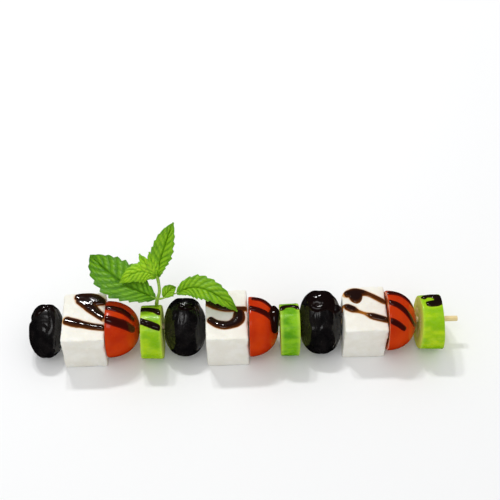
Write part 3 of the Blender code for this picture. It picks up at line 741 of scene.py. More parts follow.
def feta_form(name):
    kind, length = FETAS[name], LENGTHS[name]
    size = np.array([length - TOUCHING_GAP - 2 * FETA_ROUGHNESS, kind.back - kind.front, kind.height])
    middle = np.array([length, kind.back + kind.front, kind.height]) / 2
    share, tris = box_grid([round(s / STEP) for s in size])
    placed = cut_block(kind, size, middle, share)
    placed += feta_lumps(kind, placed / size)
    widest = length / 2 - FETA_MARGIN
    leaning = placed[:, 0] * FETA_SWELL + kind.lean * placed[:, 2] / size[2]
    placed[:, 0] = np.clip(leaning, -widest, widest)
    tris = outward(placed, tris)
    ways = normals_of(placed, tris)
    # pits, fine grain and crumbly edges, all inwards
    crumbs = Grain(kind.seed)
    depth = crumbs.dents(placed, *FETA_GRAIN)
    for scale, low, high, deepest in FETA_PITS:
        depth += deepest * smoothstep(low, high, crumbs.at(placed, scale))
    rim = smoothstep(*FETA_RIM, np.sort(np.abs(share) * 2, axis=1)[:, 1])
    chips = smoothstep(*FETA_CHIPS, crumbs.rough(placed, FETA_CHIP_SCALE, 2))
    depth += FETA_CHIP_DEPTH * rim * chips
    depth *= smoothstep(*FETA_FOOT, placed[:, 2] + size[2] / 2)
    placed -= ways * depth[:, None]
    placed[:, 2] = np.maximum(placed[:, 2], -size[2] / 2)
    return placed + middle + [STARTS[name], 0, 0], tris


def rounded(profile):
    """The profile with its corners eased, its ends kept."""
    profile = np.array(profile, float)
    for _ in range(ROUNDING):
        profile[1:-1] = (profile[:-2] + 2 * profile[1:-1] + profile[2:]) / 4
    return profile


def tomato_form(name):
    kind, length = TOMATOES[name], LENGTHS[name]
    depth, radius = length - TOUCHING_GAP, kind.diameter / 2
    face = [(0.0, r) for r in np.arange(0, radius, STEP)]
    dome = [
        (depth * fuller(math.sin(turn), TOMATO_FULLNESS), radius * fuller(math.cos(turn), TOMATO_FULLNESS))
        for turn in np.linspace(0, math.pi / 2, TOMATO_RINGS)
    ]
    points, tris = lathe(rounded(face + dome[:-1] + [(depth, 0.0)]), ROUND_SIDES)
    way = unit(points / [depth, radius, radius])
    girth = TOMATO_SLIM - TOMATO_LUMPS * lumps(way, TOMATO_LUMP_SCALE, kind.seed)
    points[:, 1:] *= girth[:, None]
    flesh = Grain(kind.seed)
    rho = np.linalg.norm(points[:, 1:], axis=1) / radius
    inside = smoothstep(*TOMATO_FACE, points[:, 0]) * smoothstep(*TOMATO_WALL, rho)
    wet = 1 - TOMATO_UNEVEN + TOMATO_UNEVEN * flesh.at(points, TOMATO_HOLLOW_SCALE)
    points[:, 0] += TOMATO_HOLLOW * inside * wet
    return points + [STARTS[name] + TOUCHING_GAP / 2, kind.centre_y, kind.centre_z], tris


def cucumber_form(name):
    kind, length = CUCUMBERS[name], LENGTHS[name]
    thick = length - TOUCHING_GAP - 2 * max(abs(kind.left_skew), abs(kind.right_skew))
    left, right = kind.left_diameter / 2, kind.right_diameter / 2
    faces = [[(side, r) for r in np.arange(0, 1.0, STEP / left)] for side in (-0.5, 0.5)]
    rind = [(x, 1.0) for x in np.linspace(-0.5, 0.5, round(thick / STEP))]
    profile = np.array(faces[0] + rind + faces[1][::-1])
    points, tris = lathe(rounded(profile * [thick, left]) / [thick, left], ROUND_SIDES)
    at_right = points[:, 0] + 0.5
    angle = np.arctan2(points[:, 2], points[:, 1])
    ridges = 1 - CUCUMBER_RIDGE_DEPTH * as_share(np.cos(CUCUMBER_RIDGES * angle))
    radius = (left + (right - left) * at_right) * ridges
    skew = kind.left_skew + (kind.right_skew - kind.left_skew) * at_right
    placed = np.stack([
        length / 2 + points[:, 0] * thick + skew * points[:, 2],
        points[:, 1] * radius,
        points[:, 2] * radius,
    ], 1)
    ways = normals_of(placed, tris)
    grain = Grain(int(length * MICRONS))
    rho = np.hypot(points[:, 1], points[:, 2])
    on_cut = smoothstep(*CUCUMBER_FACE, np.abs(points[:, 0])) * (rho < CUCUMBER_RIND)
    bumps = grain.dents(placed * [CUCUMBER_STRETCH, 1, 1], *CUCUMBER_BUMPS) + CUCUMBER_SLIM
    placed -= ways * ((1 - on_cut) * bumps)[:, None]
    core = CUCUMBER_CORE_DEPTH * smoothstep(*CUCUMBER_CORE, rho)
    seeds = SEED_HEIGHT * seeds_at(points[:, 1], points[:, 2])
    placed -= ways * (on_cut * (grain.dents(placed, *CUCUMBER_WET) + core - seeds))[:, None]
    return placed + [STARTS[name], kind.centre_y, kind.centre_z], tris


def seeds_at(y, z):
    """How much of a seed lies at a place on a cucumber's cut face, whose rim has radius 1."""
    total = np.zeros(len(y))
    for lobe in range(SEED_LOBES):
        for number in range(-SEEDS_BESIDE, SEEDS_BESIDE + 1):
            turn = lobe * 2 * math.pi / SEED_LOBES + number * SEED_TURN
            out = SEED_OUT - SEED_CURVE * abs(number) + SEED_SHIFT * math.sin(SEED_SHIFT_WAVES * turn)
            along = y * math.cos(turn) + z * math.sin(turn) - out
            aside = z * math.cos(turn) - y * math.sin(turn)
            away = (along / SEED_LENGTH) ** 2 + (aside / SEED_WIDTH) ** 2
            total = np.maximum(total, smoothstep(*SEED_RISE, away))
    return total


# ---- the glaze

class Strokes:
    """The strokes on one piece, as places on its surface with half widths."""

    def __init__(self, name, points, tris):
        self.name = name
        self.is_flat = kind_of(name) == "feta"
        self.height = GLAZE_HEIGHT if self.is_flat else GLAZE_HEIGHT_ROUND
        self.tree = BVHTree.FromPolygons(points.tolist(), tris.tolist())
        self.low, self.high = points[:, 0].min(), points[:, 0].max()
        seed = STROKE_SEEDS * list(LENGTHS).index(name)
        self.rows = [self.laid(stroke, seed + number) for number, stroke in enumerate(GLAZE[name])]

    def meet(self, along, across):
        """Where a point of a stroke meets the food, and the way out of the food there."""
        x = STARTS[self.name] + along * MM
        if self.is_flat:
            outside = Vector((x, across * MM, OUTSIDE))
            inwards = Vector((0, 0, -1))
        else:
            turn = math.radians(across)
            inwards = Vector((0, math.sin(turn), -math.cos(turn)))
            outside = Vector((x, 0, STICK_AXIS_Z)) - inwards * OUTSIDE
        hit = self.tree.ray_cast(outside, inwards)[0]
        if hit is None:
            hit = self.tree.find_nearest(outside + inwards * (OUTSIDE - STICK_AXIS_Z))[0]
        return hit, -inwards

    def laid(self, stroke, seed):
        """Places along a stroke, its half widths, the ways out there, and how far the nearer end is."""
        turns = [self.meet(along, across)[0] for along, across, _ in stroke]
        extent = sum((b - a).length for a, b in zip(turns, turns[1:]))
        steps = max(GLAZE_LEAST_STEPS, round(extent / GLAZE_STEP))
        uneven = Grain(seed)
        starts_over = stroke[0][0] < GLAZE_RUNS_ON
        ends_over = stroke[-1][0] > LENGTHS[self.name] / MM - GLAZE_RUNS_ON
        rows = []
        for i in range(steps + 1):
            share = i / steps
            along, across, width = on_route(stroke, share)
            half = width * MM / 2 + GLAZE_SPREAD
            before = share * extent + (half if starts_over else GLAZE_SPREAD)
            after = (1 - share) * extent + (half if ends_over else GLAZE_SPREAD)
            end = min(before, after)
            half *= math.sqrt(max(GLAZE_BLUNT, 1 - max(0.0, 1 - end / half) ** 2))
            half *= 1 + GLAZE_UNEVEN * uneven.at([[share * extent / GLAZE_UNEVEN_LENGTH, 0.5, 0.5]], 1.0)[0]
            place, way = self.meet(along, across)
            rows.append((tuple(place), half, tuple(way), end))
        places, halves, ways, ends = (np.array(row) for row in zip(*rows))
        places[0, 0] = self.low if starts_over else places[0, 0]
        places[-1, 0] = self.high if ends_over else places[-1, 0]
        return places, halves, ways, ends

    def beyond(self, points):
        """How far each point lies outside the edge of the nearest bead; under 0 inside."""
        best = np.full(len(points), math.inf)
        for places, halves, _, ends in self.rows:
            for place, reach in zip(places, np.minimum(halves, ends)):
                best = np.minimum(best, np.linalg.norm(points - place, axis=1) - reach)
        return best

    def ribbons(self):
        """A closed bead for every stroke, which follows the food and is sunk into it a little."""
        across = np.sin(np.linspace(-1, 1, GLAZE_ACROSS) * math.pi / 2)
        for number, (places, halves, ways, _) in enumerate(self.rows):
            sides = unit(np.cross(np.gradient(places, axis=0), ways))
            rise = 1 + GLAZE_UNEVEN * Grain(RIBBON_SEEDS + number).at(places, GLAZE_UNEVEN_SCALE)
            high = np.minimum(self.height, GLAZE_CROWN * halves**2) * rise
            flat = places[:, None] + sides[:, None] * (across[None, :] * halves[:, None])[:, :, None]
            laid = np.array([tuple(self.tree.find_nearest(Vector(p))[0]) for p in flat.reshape(-1, 3)])
            out = np.repeat(ways, len(across), axis=0)
            squareness = GLAZE_ROUND_TOP if halves.max() < GLAZE_WIDE / 2 else GLAZE_FLAT_TOP
            dome = np.clip(1 - np.abs(np.tile(across, len(places))) ** squareness, 0, 1) ** GLAZE_SLOPE
            lift = np.repeat(high, len(across)) * dome - GLAZE_EDGE_SUNK
            sheet = grid_tris(len(places), len(across))
            closed, faces = skin(laid + out * lift[:, None], laid - out * GLAZE_SUNK, sheet)
            closed[:, 0] = np.clip(closed[:, 0], self.low, self.high)
            yield closed, outward(closed, faces)


def strand(laid, first, second):
    """Glaze that runs on from the end of one stroke to the start of the next, across the joint."""
    ends = []
    for (name, row), steps in ((first, (-STRAND_OVERLAP, -1)), (second, (0, STRAND_OVERLAP - 1))):
        places, halves, ways, _ = laid[name].rows[row]
        ends += [(places[i] - ways[i] * STRAND_SUNK, STRAND_SLIM * halves[i]) for i in steps]
    shares = np.linspace(0, 1, STRAND_STEPS)
    line = np.array([on_route([place for place, _ in ends], share) for share in shares])
    radii = np.interp(shares, np.linspace(0, 1, len(ends)), [radius for _, radius in ends])
    return sweep(line, radii, STRAND_FLATNESS)


def caught(name):
    """Glaze that lies in the wedge between a tomato's round back and the next piece."""
    start, end, out, before, radius = CAUGHT[name]
    turns = np.radians(np.linspace(start, end, TUBE_STEPS))
    line = np.stack([
        np.full(TUBE_STEPS, STARTS[name] + LENGTHS[name] - before),
        TOMATOES[name].centre_y - out * np.sin(turns),
        TOMATOES[name].centre_z + out * np.cos(turns),
    ], 1)
    shares = np.linspace(-1, 1, TUBE_STEPS)
    waves = np.sin(CAUGHT_WAVES * shares + start)
    return sweep(line, radius * (1 - CAUGHT_TAPER * shares**2 + CAUGHT_UNEVEN * waves))


def melted(obj):
    """Runs overlapping beads together into one smooth skin."""
    melt = obj.modifiers.new("melt", "REMESH")
    melt.mode = "VOXEL"
    melt.voxel_size = GLAZE_VOXEL
    ease = obj.modifiers.new("ease", "SMOOTH")
    ease.iterations = GLAZE_EASING
    ease.factor = 0.5
    drop_specks(applied(obj))
    return obj


def drop_specks(mesh):
    """Deletes the loose slivers that melting leaves where strokes end at a joint."""
    form = bmesh.new()
    form.from_mesh(mesh)
    waiting = set(form.verts)
    specks = []
    while waiting:
        island = [waiting.pop()]
        for vert in island:
            for edge in vert.link_edges:
                other = edge.other_vert(vert)
                if other in waiting:
                    waiting.remove(other)
                    island.append(other)
        if len(island) < GLAZE_SPECK:
            specks += island
    bmesh.ops.delete(form, geom=specks, context="VERTS")
    form.to_mesh(mesh)
    form.free()


def build_glaze(laid):
    pile = Pile()
    for strokes in laid.values():
        for points, tris in strokes.ribbons():
            pile.add(points, tris)
    for first, second in STRANDS:
        pile.add(*strand(laid, first, second))
    for name in CAUGHT:
        pile.add(*caught(name))
    obj = melted(pile.made("balsamic_glaze"))
    points = point_vectors(obj)
    deep = np.full(len(points), math.inf)
    colours = np.zeros((len(points), 3, 3))
    for name, strokes in laid.items():
        close = (points[:, 0] > strokes.low - GLAZE_NEAR) & (points[:, 0] < strokes.high + GLAZE_NEAR)
        for i in np.flatnonzero(close):
            away = strokes.tree.find_nearest(Vector(points[i]))[3]
            if away < deep[i]:
                deep[i] = away
                colours[i] = GLAZE_COLOURS[kind_of(name)]
    thin, body, thick = colours.swapaxes(0, 1)
    mark(obj, deep=np.clip(deep / GLAZE_HEIGHT, 0, 1), thin=thin, body=body, thick=thick)
    obj.data.materials.append(glaze_finish())
    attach(obj, "root")


# ---- the mint

def leaf_form(leaf, seed):
    """A thin blade with teeth, a midrib and side veins, and the blade quilted between them."""
    route = np.array(leaf.route) * MM
    across_steps = 2 * max(LEAF_LEAST_STEPS, round(leaf.width * MM / 2 / LEAF_STEP))
    along_steps = leaf.teeth * LEAF_ROWS
    uneven = Grain(seed)
    last_cell = leaf.teeth + 2 * LEAF_SPARE_VEINS - 1
    cells = np.random.RandomState(seed).uniform(0, 1, (2, last_cell + 1))
    lean = LEAF_VEIN_LEAN * leaf.width * MM / np.linalg.norm(route[-1] - route[0])
    fold = math.radians(leaf.fold)
    v = np.linspace(-1, 1, across_steps + 1)
    out = np.abs(v)
    right = (v > 0).astype(int)
    rows = []
    marks = {"vein": [], "out": [], "high": []}
    for i in range(along_steps + 1):
        u = i / along_steps
        ahead = unit(on_route(route, min(1.0, u + LEAF_NEARBY)) - on_route(route, max(0.0, u - LEAF_NEARBY)))
        side = unit(np.cross(ahead, leaf.facing))
        up = np.cross(side, ahead)
        # the outline, with its teeth
        rising = min(1.0, u / leaf.widest) ** LEAF_BASE_ROUNDING
        past = max(0.0, (u - leaf.widest) / (1 - leaf.widest))
        half = max(leaf.width * MM / 2 * rising * (1 - past**leaf.blunt), LEAF_LEAST_WIDTH / 2)
        where = (u * leaf.teeth + 0.5 * right) % 1.0
        tooth = np.where(where < LEAF_TOOTH_TIP, where / LEAF_TOOTH_TIP, (1 - where) / (1 - LEAF_TOOTH_TIP))
        reach = half * (1 - LEAF_TOOTH_DEPTH * out**3 * (1 - tooth))
        flat = on_route(route, u) + np.outer(v * reach * math.cos(fold), side)
        # the side veins, and the bulges between them
        vein_at = (u - lean * out) * leaf.teeth + 0.5 * right
        number = np.clip(np.floor(vein_at).astype(int) + LEAF_SPARE_VEINS, 0, last_cell)
        between = np.abs(vein_at - np.round(vein_at)) * 2
        cell = np.abs(np.sin(math.pi * (out * LEAF_CELLS + cells[right, number])))
        calm = (1 - out**5) * min(1.0, half / LEAF_CALM_WIDTH)
        calm *= min(1.0, LEAF_CALM_ENDS * u, LEAF_CALM_ENDS * (1 - u) + LEAF_CALM_TIP)
        puff = np.sqrt(between) * (1 - LEAF_CELL_DEPTH + LEAF_CELL_DEPTH * np.sqrt(cell))
        puff *= np.minimum(out * LEAF_FLAT_MIDDLE, 1)
        lift = out * (half * math.sin(fold) + leaf.wave * MM * math.sin(LEAF_WAVES * math.pi * u))
        lift += calm * (LEAF_QUILT * puff + LEAF_GRAIN_DEPTH * uneven.at(flat, LEAF_GRAIN_SCALE))
        lift -= LEAF_RIB_DEPTH * np.exp(-((v * half / LEAF_RIB_WIDTH) ** 2)) + LEAF_LOWERED
        rows.append(flat + np.outer(lift, up))
        midrib = np.exp(-((v * half / LEAF_MIDRIB_WIDTH) ** 2))
        vein = np.maximum(smoothstep(*LEAF_VEIN, between), midrib)
        marks["vein"].append(np.maximum(vein, LEAF_WEB * (1 - cell) ** 3))
        marks["out"].append(out)
        # how high the blade bulges; the material paints the tops lighter as painted light and the low
        # furrows darker as painted shade
        marks["high"].append(puff * calm)
    sheet = np.concatenate(rows)
    tris = grid_tris(along_steps + 1, across_steps + 1)
    ways = normals_of(sheet, tris)
    if (ways @ np.array(leaf.facing)).sum() < 0:
        tris, ways = tris[:, ::-1], -ways
    closed, faces = skin(sheet + ways * LEAF_THICKNESS / 2, sheet - ways * LEAF_THICKNESS / 2, tris)
    twice = {key: np.tile(np.concatenate(values), 2) for key, values in marks.items()}
    return closed, faces, {**twice, "under": np.repeat([0.0, 1.0], len(sheet)), "youth": leaf.youth}


def mint_tube(route, diameter, slimming):
    """A stem or a stalk, a little uneven, and slimmer towards its end."""
    shares = np.linspace(0, 1, TUBE_STEPS)
    line = np.array([on_route(route, share) for share in shares]) * MM
    fine, fine_turns = MINT_FINE_WAVES
    long, long_turns = MINT_LONG_WAVES
    girth = MINT_GIRTH + fine * np.sin(shares * fine_turns) + long * np.cos(shares * long_turns)
    girth = girth - slimming * shares
    return sweep(line, diameter / 2 * girth)


# ---- materials. Scales are in lumps to a metre, colours linear, bumps in metres.

class Shader:
    """A Principled material whose nodes are added one by one."""

    def __init__(self, name, **constants):
        self.material = bpy.data.materials.new(name)
        self.material.use_nodes = True
        self.tree = self.material.node_tree
        self.surface = self.tree.nodes["Principled BSDF"]
        self.set(**constants)
        self.place = self.add("TexCoord", "Object")

    def set(self, **values):
        for key, value in values.items():
            self.feed(self.surface.inputs[key.replace("_", " ")], value)

    def add(self, kind, output, inputs=None, **settings):
        """A new node, of which the output with this name or number is given back."""
        node = self.tree.nodes.new("ShaderNode" + kind)
        for key, value in settings.items():
            setattr(node, key, value)
        for key, value in (inputs or {}).items():
            self.feed(node.inputs[key], value)
        return node.outputs[output]

    def feed(self, socket, value):
        """Links another node's output to the socket, or sets a number, a vector or a colour."""
        if isinstance(value, bpy.types.NodeSocket):
            self.tree.links.new(value, socket)
        elif socket.type == "RGBA":
            socket.default_value = (*value, 1.0)
        else:
            socket.default_value = value

    def attribute(self, name, output="Fac"):
        return self.add("Attribute", output, attribute_name=name)

    def stretched(self, factors):
        return self.add("Mapping", "Vector", {"Vector": self.place, "Scale": factors})

    def noise(self, scale, detail, place=None):
        inputs = {"Vector": place or self.place, "Scale": scale, "Detail": detail, "Roughness": 0.55}
        return self.add("TexNoise", "Fac", inputs)

    def spots(self, scale, **settings):
        return self.add("TexVoronoi", "Distance", {"Vector": self.place, "Scale": scale}, **settings)

    def between(self, value, low, high, to_low=0.0, to_high=1.0):
        inputs = {"Value": value, "From Min": low, "From Max": high, "To Min": to_low, "To Max": to_high}
        return self.add("MapRange", "Result", inputs, interpolation_type="SMOOTHSTEP")

    def cloud(self, scale, detail, low=0.3, high=0.7, to_low=0.0, to_high=1.0):
        """Noise that blends from one number to another."""
        return self.between(self.noise(scale, detail), low, high, to_low, to_high)

    def mixed(self, share, first, second):
        return self.add("Mix", 2, {0: share, 6: first, 7: second}, data_type="RGBA")

    def sum(self, first, second, operation="ADD"):
        return self.add("Math", 0, {0: first, 1: second}, operation=operation)

    def times(self, value, share):
        return self.sum(value, share, "MULTIPLY")

    def bump(self, height, distance, strength):
        inputs = {"Height": height, "Distance": distance, "Strength": strength}
        self.set(Normal=self.add("Bump", "Normal", inputs))


def feta_finish():
    s = Shader(
        "feta_cheese", Specular_IOR_Level=0.4,
        Subsurface_Weight=0.18, Subsurface_Scale=0.002, Subsurface_Radius=(1.0, 0.85, 0.6),
    )
    cream, white = (0.87, 0.845, 0.755), (0.93, 0.915, 0.845)
    pit_shade, stain = (0.74, 0.68, 0.52), (0.62, 0.30, 0.07)
    body = s.mixed(s.cloud(160, 4, 0.35), cream, white)
    # painted shade: small tan specks at random places, darker as the inside of a tiny pit looks in shade
    body = s.mixed(s.times(s.cloud(1500, 3, 0.60, 0.74), 0.35), body, pit_shade)
    body = s.mixed(s.attribute("stain"), body, stain)
    s.set(Base_Color=body, Roughness=s.cloud(700, 2, 0.3, 0.7, 0.42, 0.62))
    s.bump(s.sum(s.noise(900, 4), s.times(s.noise(3200, 2), 0.4)), 0.00016, 0.7)
    return s.material


def tomato_finish():
    s = Shader(
        "tomato_skin", Specular_IOR_Level=0.2, Coat_Weight=0.2, Coat_Roughness=0.06,
        Subsurface_Weight=0.12, Subsurface_Scale=0.002, Subsurface_Radius=(1.0, 0.25, 0.1),
    )
    red, deep_red, fleck = (0.61, 0.048, 0.002), (0.49, 0.026, 0.002), (0.80, 0.20, 0.05)
    wall, pale_wall = (0.62, 0.10, 0.03), (0.74, 0.22, 0.08)
    seed, jelly = (0.62, 0.26, 0.06), (0.50, 0.07, 0.015)
    skin_colour = s.mixed(s.cloud(90, 3), red, deep_red)
    skin_colour = s.mixed(s.between(s.spots(900), 0.0, 0.16, 0.35, 0.0), skin_colour, fleck)
    rho = s.attribute("rho")
    walls = s.mixed(s.cloud(330, 3, 0.42, 0.62), wall, pale_wall)
    hollows = s.mixed(s.between(s.spots(260), 0.1, 0.5), seed, jelly)
    flesh = s.mixed(s.between(rho, 0.80, 0.72), walls, hollows)
    flesh = s.mixed(s.between(rho, 0.96, 0.985), flesh, skin_colour)
    body = s.mixed(s.attribute("cut"), skin_colour, flesh)
    s.set(Base_Color=body, Roughness=s.cloud(400, 2, 0.3, 0.7, 0.14, 0.24))
    s.bump(s.noise(700, 2), 0.00006, 0.35)
    return s.material


def cucumber_finish():
    s = Shader(
        "cucumber_skin", Specular_IOR_Level=0.28, Coat_Weight=0.15, Coat_Roughness=0.12,
        Subsurface_Weight=0.10, Subsurface_Scale=0.002, Subsurface_Radius=(0.6, 1.0, 0.25),
    )
    lime, pale_lime = (0.29, 0.57, 0.003), (0.52, 0.74, 0.009)
    green, pale_green = (0.070, 0.30, 0.003), (0.21, 0.52, 0.006)
    dot, rim = (0.55, 0.74, 0.14), (0.58, 0.76, 0.10)
    flesh, pale_flesh, core = (0.62, 0.80, 0.08), (0.74, 0.87, 0.15), (0.64, 0.80, 0.12)
    seed, under_rind = (0.82, 0.84, 0.30), (0.48, 0.68, 0.03)
    cut, rho = s.attribute("cut"), s.attribute("rho")
    blotches = s.sum(s.noise(330, 4, s.stretched((0.4, 1, 1))), s.noise(150, 2, s.stretched((0.7, 1, 1))))
    streaks = s.between(blotches, 0.80, 1.22)
    light, dark = s.mixed(streaks, lime, pale_lime), s.mixed(streaks, green, pale_green)
    rind = s.mixed(s.attribute("tone"), light, dark)
    rind = s.mixed(s.between(s.spots(700), 0.0, 0.2, 0.25, 0.0), rind, dot)
    rind = s.mixed(s.times(s.attribute("rim"), 0.55), rind, rim)
    inside = s.mixed(s.cloud(420, 4), flesh, pale_flesh)
    inside = s.mixed(s.between(rho, 0.62, 0.50), inside, core)
    inside = s.mixed(s.attribute("seed"), inside, seed)
    inside = s.mixed(s.between(rho, 0.86, 0.97), inside, under_rind)
    wet = s.cloud(500, 2, 0.3, 0.7, 0.20, 0.36)
    s.set(Base_Color=s.mixed(cut, rind, inside), Roughness=s.sum(wet, s.times(cut, 0.35)))
    s.bump(s.sum(s.noise(700, 3), s.noise(2200, 2)), 0.00012, 0.5)
    return s.material


def olive_finish():
    s = Shader("olive_skin", Specular_IOR_Level=0.4, Coat_Weight=0.25, Coat_Roughness=0.11)
    black, brown = (0.0035, 0.003, 0.0035), (0.010, 0.008, 0.008)
    s.set(
        Base_Color=s.mixed(s.cloud(220, 3, 0.35), black, brown),
        Roughness=s.cloud(300, 3, 0.3, 0.7, 0.14, 0.32),
    )
    s.bump(s.sum(s.noise(700, 3), s.times(s.noise(2600, 2), 0.2)), 0.00016, 0.45)
    return s.material


def bamboo_finish():
    s = Shader("bamboo", Specular_IOR_Level=0.35)
    straw, tan, pale = (0.92, 0.76, 0.45), (0.82, 0.62, 0.32), (0.95, 0.84, 0.58)
    fibres = s.noise(2600, 3, s.stretched((0.03, 1, 1)))
    wood = s.mixed(s.between(fibres, 0.35, 0.65), straw, tan)
    s.set(
        Base_Color=s.mixed(s.cloud(90, 2, 0.45, 0.75, 0.0, 0.5), wood, pale),
        Roughness=s.between(fibres, 0.3, 0.7, 0.48, 0.68),
    )
    s.bump(fibres, 0.00012, 0.6)
    return s.material


def glaze_finish():
    s = Shader("balsamic_glaze", Specular_IOR_Level=0.35, Coat_Weight=0.15, Coat_Roughness=0.03, IOR=1.46)
    deep = s.attribute("deep")
    thin, body, thick = (s.attribute(name, "Color") for name in ("thin", "body", "thick"))
    body = s.mixed(s.between(deep, 0.45, 1.0), body, thick)
    body = s.mixed(s.between(deep, 0.06, 0.42), thin, body)
    s.set(Base_Color=body, Roughness=s.cloud(300, 2, 0.3, 0.7, 0.05, 0.11))
    s.bump(s.noise(260, 2), 0.0001, 0.25)
    return s.material


def mint_finish():
    s = Shader(
        "mint_leaf", Specular_IOR_Level=0.25,
        Subsurface_Weight=0.1, Subsurface_Scale=0.001, Subsurface_Radius=(0.5, 1.0, 0.15),
    )
    youth, high = s.attribute("youth"), s.attribute("high")
    patches = s.cloud(240, 4)
    old = s.mixed(patches, (0.040, 0.175, 0.002), (0.105, 0.31, 0.004))
    young = s.mixed(patches, (0.19, 0.47, 0.004), (0.33, 0.63, 0.008))
    # each colour from an old leaf's to a young one's
    furrow_shade = s.mixed(youth, (0.020, 0.105, 0.001), (0.10, 0.33, 0.003))
    lit_bulge = s.mixed(youth, (0.20, 0.45, 0.008), (0.46, 0.74, 0.02))
    vein = s.mixed(youth, (0.18, 0.42, 0.012), (0.44, 0.72, 0.05))
    net, underside = (0.20, 0.44, 0.02), (0.30, 0.52, 0.10)
    blade = s.mixed(youth, old, young)
    # painted shade and painted light: the blade is painted darker where it lies low between its bulges and
    # lighter on their tops
    blade = s.mixed(s.between(high, 0.0, 0.45, 0.6, 0.0), blade, furrow_shade)
    blade = s.mixed(s.between(high, 0.35, 1.0, 0.0, 0.7), blade, lit_bulge)
    blade = s.mixed(s.between(s.spots(1500, feature="DISTANCE_TO_EDGE"), 0.0, 0.12, 0.2, 0.0), blade, net)
    blade = s.mixed(s.times(s.attribute("vein"), 0.45), blade, vein)
    blade = s.mixed(s.between(s.attribute("out"), 0.93, 1.0, 0.0, 0.5), blade, vein)
    blade = s.mixed(s.times(s.attribute("under"), 0.5), blade, underside)
    s.set(Base_Color=blade, Roughness=s.cloud(600, 2, 0.3, 0.7, 0.28, 0.42))
    s.bump(s.sum(s.spots(1500), s.noise(2200, 2)), 0.00012, 0.5)
    return s.material


def stem_finish():
    s = Shader(
        "mint_stem", Specular_IOR_Level=0.4, Roughness=0.42, Subsurface_Weight=0.1, Subsurface_Scale=0.001,
    )
    lines = s.noise(1600, 3, s.stretched((1, 1, 0.15)))
    s.set(Base_Color=s.mixed(s.between(lines, 0.3, 0.7), (0.22, 0.40, 0.03), (0.36, 0.54, 0.08)))
    s.bump(lines, 0.0001, 0.5)
    return s.material


def floor_finish():
    s = Shader("floor", Specular_IOR_Level=0.0, Roughness=0.6, Base_Color=FLOOR_COLOUR, Emission_Color=WHITE)
    away = s.add("VectorMath", "Value", {0: s.place}, operation="LENGTH")
    s.set(Emission_Strength=s.between(away, *FLOOR_GLOW_REACH, 0.0, FLOOR_GLOW))
    return s.material


# ---- building

WHITE = (1.0, 1.0, 1.0)
FLOOR_SIZE = 8.0
FLOOR_LOWERED = 0.02 * MM
FLOOR_COLOUR = (0.93, 0.935, 0.94)
FLOOR_GLOW = 0.25  # evens out the floor far from the lamps
FLOOR_GLOW_REACH = (0.2, 0.9)
WORLD_STRENGTH = 0.72
# name, place, size, watts
LAMPS = [
    ("key_left", (-0.20, 0.37, 0.70), (0.06, 0.05), 1.25),
    ("key_right", (-0.09, 0.37, 0.70), (0.05, 0.05), 0.95),
    ("soft", (-0.12, -0.26, 0.75), (0.26, 0.18), 0.4),
]
LAMPS_AIM = Vector((0, 0, 0.01))
CAMERA_PLACE = (0.00136, -0.2817, 0.4299)
CAMERA_TURN = (math.radians(38.0), 0.0, math.radians(-1.9))
CAMERA_LENS = 77.4
# form and finish
FOODS = {
    "olive": (olive_form, olive_finish),
    "feta": (feta_form, feta_finish),
    "tomato": (tomato_form, tomato_finish),
    "cucumber": (cucumber_form, cucumber_finish),
}
# how dark each cucumber's skin is, from 0 to 1
TONES = {"cucumber_1": 0.25, "cucumber_2": 0.9, "cucumber_3": 0.1}
# glaze colours: at its thin edge, in its body and where it is thickest
GLAZE_COLOURS = {
    "olive": ((0.010, 0.005, 0.004), (0.006, 0.003, 0.003), (0.005, 0.003, 0.003)),
    "feta": ((0.40, 0.14, 0.014), (0.078, 0.021, 0.005), (0.015, 0.006, 0.005)),
    "tomato": ((0.20, 0.010, 0.004), (0.045, 0.004, 0.003), (0.012, 0.003, 0.002)),
    "cucumber": ((0.05, 0.035, 0.006), (0.012, 0.006, 0.004), (0.006, 0.003, 0.003)),
}


def stick_form():
    left = ROW_START + STICK_POINT_COVER
    right = ROW_START + ROW_LENGTH
    radius = STICK_DIAMETER / 2
    tip = STICK_POINT_DIAMETER / 2
    steps = np.linspace(0, 1, STICK_POINT_RINGS)
    slope = [(left + STICK_POINT_LENGTH * t, tip + (radius - tip) * t) for t in steps]
    shaft = [(x, radius) for x in np.linspace(left + STICK_POINT_LENGTH, right, STICK_RINGS)[1:-1]]
    bevel_length, bevel_depth = STICK_BEVEL
    end = [(right - bevel_length, radius), (right, radius - bevel_depth)]
    cut = [(right - STICK_HOLLOW, radius / 2), (right, 0.0)]
    points, tris = lathe([(left, 0.0)] + slope + shaft + end + cut, STICK_SIDES)
    angle = np.arctan2(points[:, 1], points[:, 2])
    flats = STICK_FLATS * as_share(np.cos(STICK_FLAT_COUNT * angle))
    turns = STICK_FIBRE_COUNT * angle + STICK_FIBRE_TWIST * points[:, 0]
    fibres = STICK_FIBRES * as_share(np.sin(turns))
    points[:, 1:] *= (1 - flats - fibres)[:, None]
    return points + [0, 0, STICK_AXIS_Z], tris


def bore_object():
    """The room that the stick needs, to be cut from the foods."""
    start = ROW_START + STICK_POINT_COVER - TOUCHING_GAP
    end = ROW_START + ROW_LENGTH
    radius = STICK_DIAMETER / 2 + TOUCHING_GAP * BORE_SLACK
    tip = STICK_POINT_DIAMETER / 2 + TOUCHING_GAP
    profile = [(start, 0.0), (start, tip), (start + STICK_POINT_LENGTH, radius), (end, radius), (end, 0.0)]
    points, tris = lathe(profile, BORE_SIDES)
    obj = piece("bore", points + [0, 0, STICK_AXIS_Z], tris)
    obj.hide_render = True
    return obj


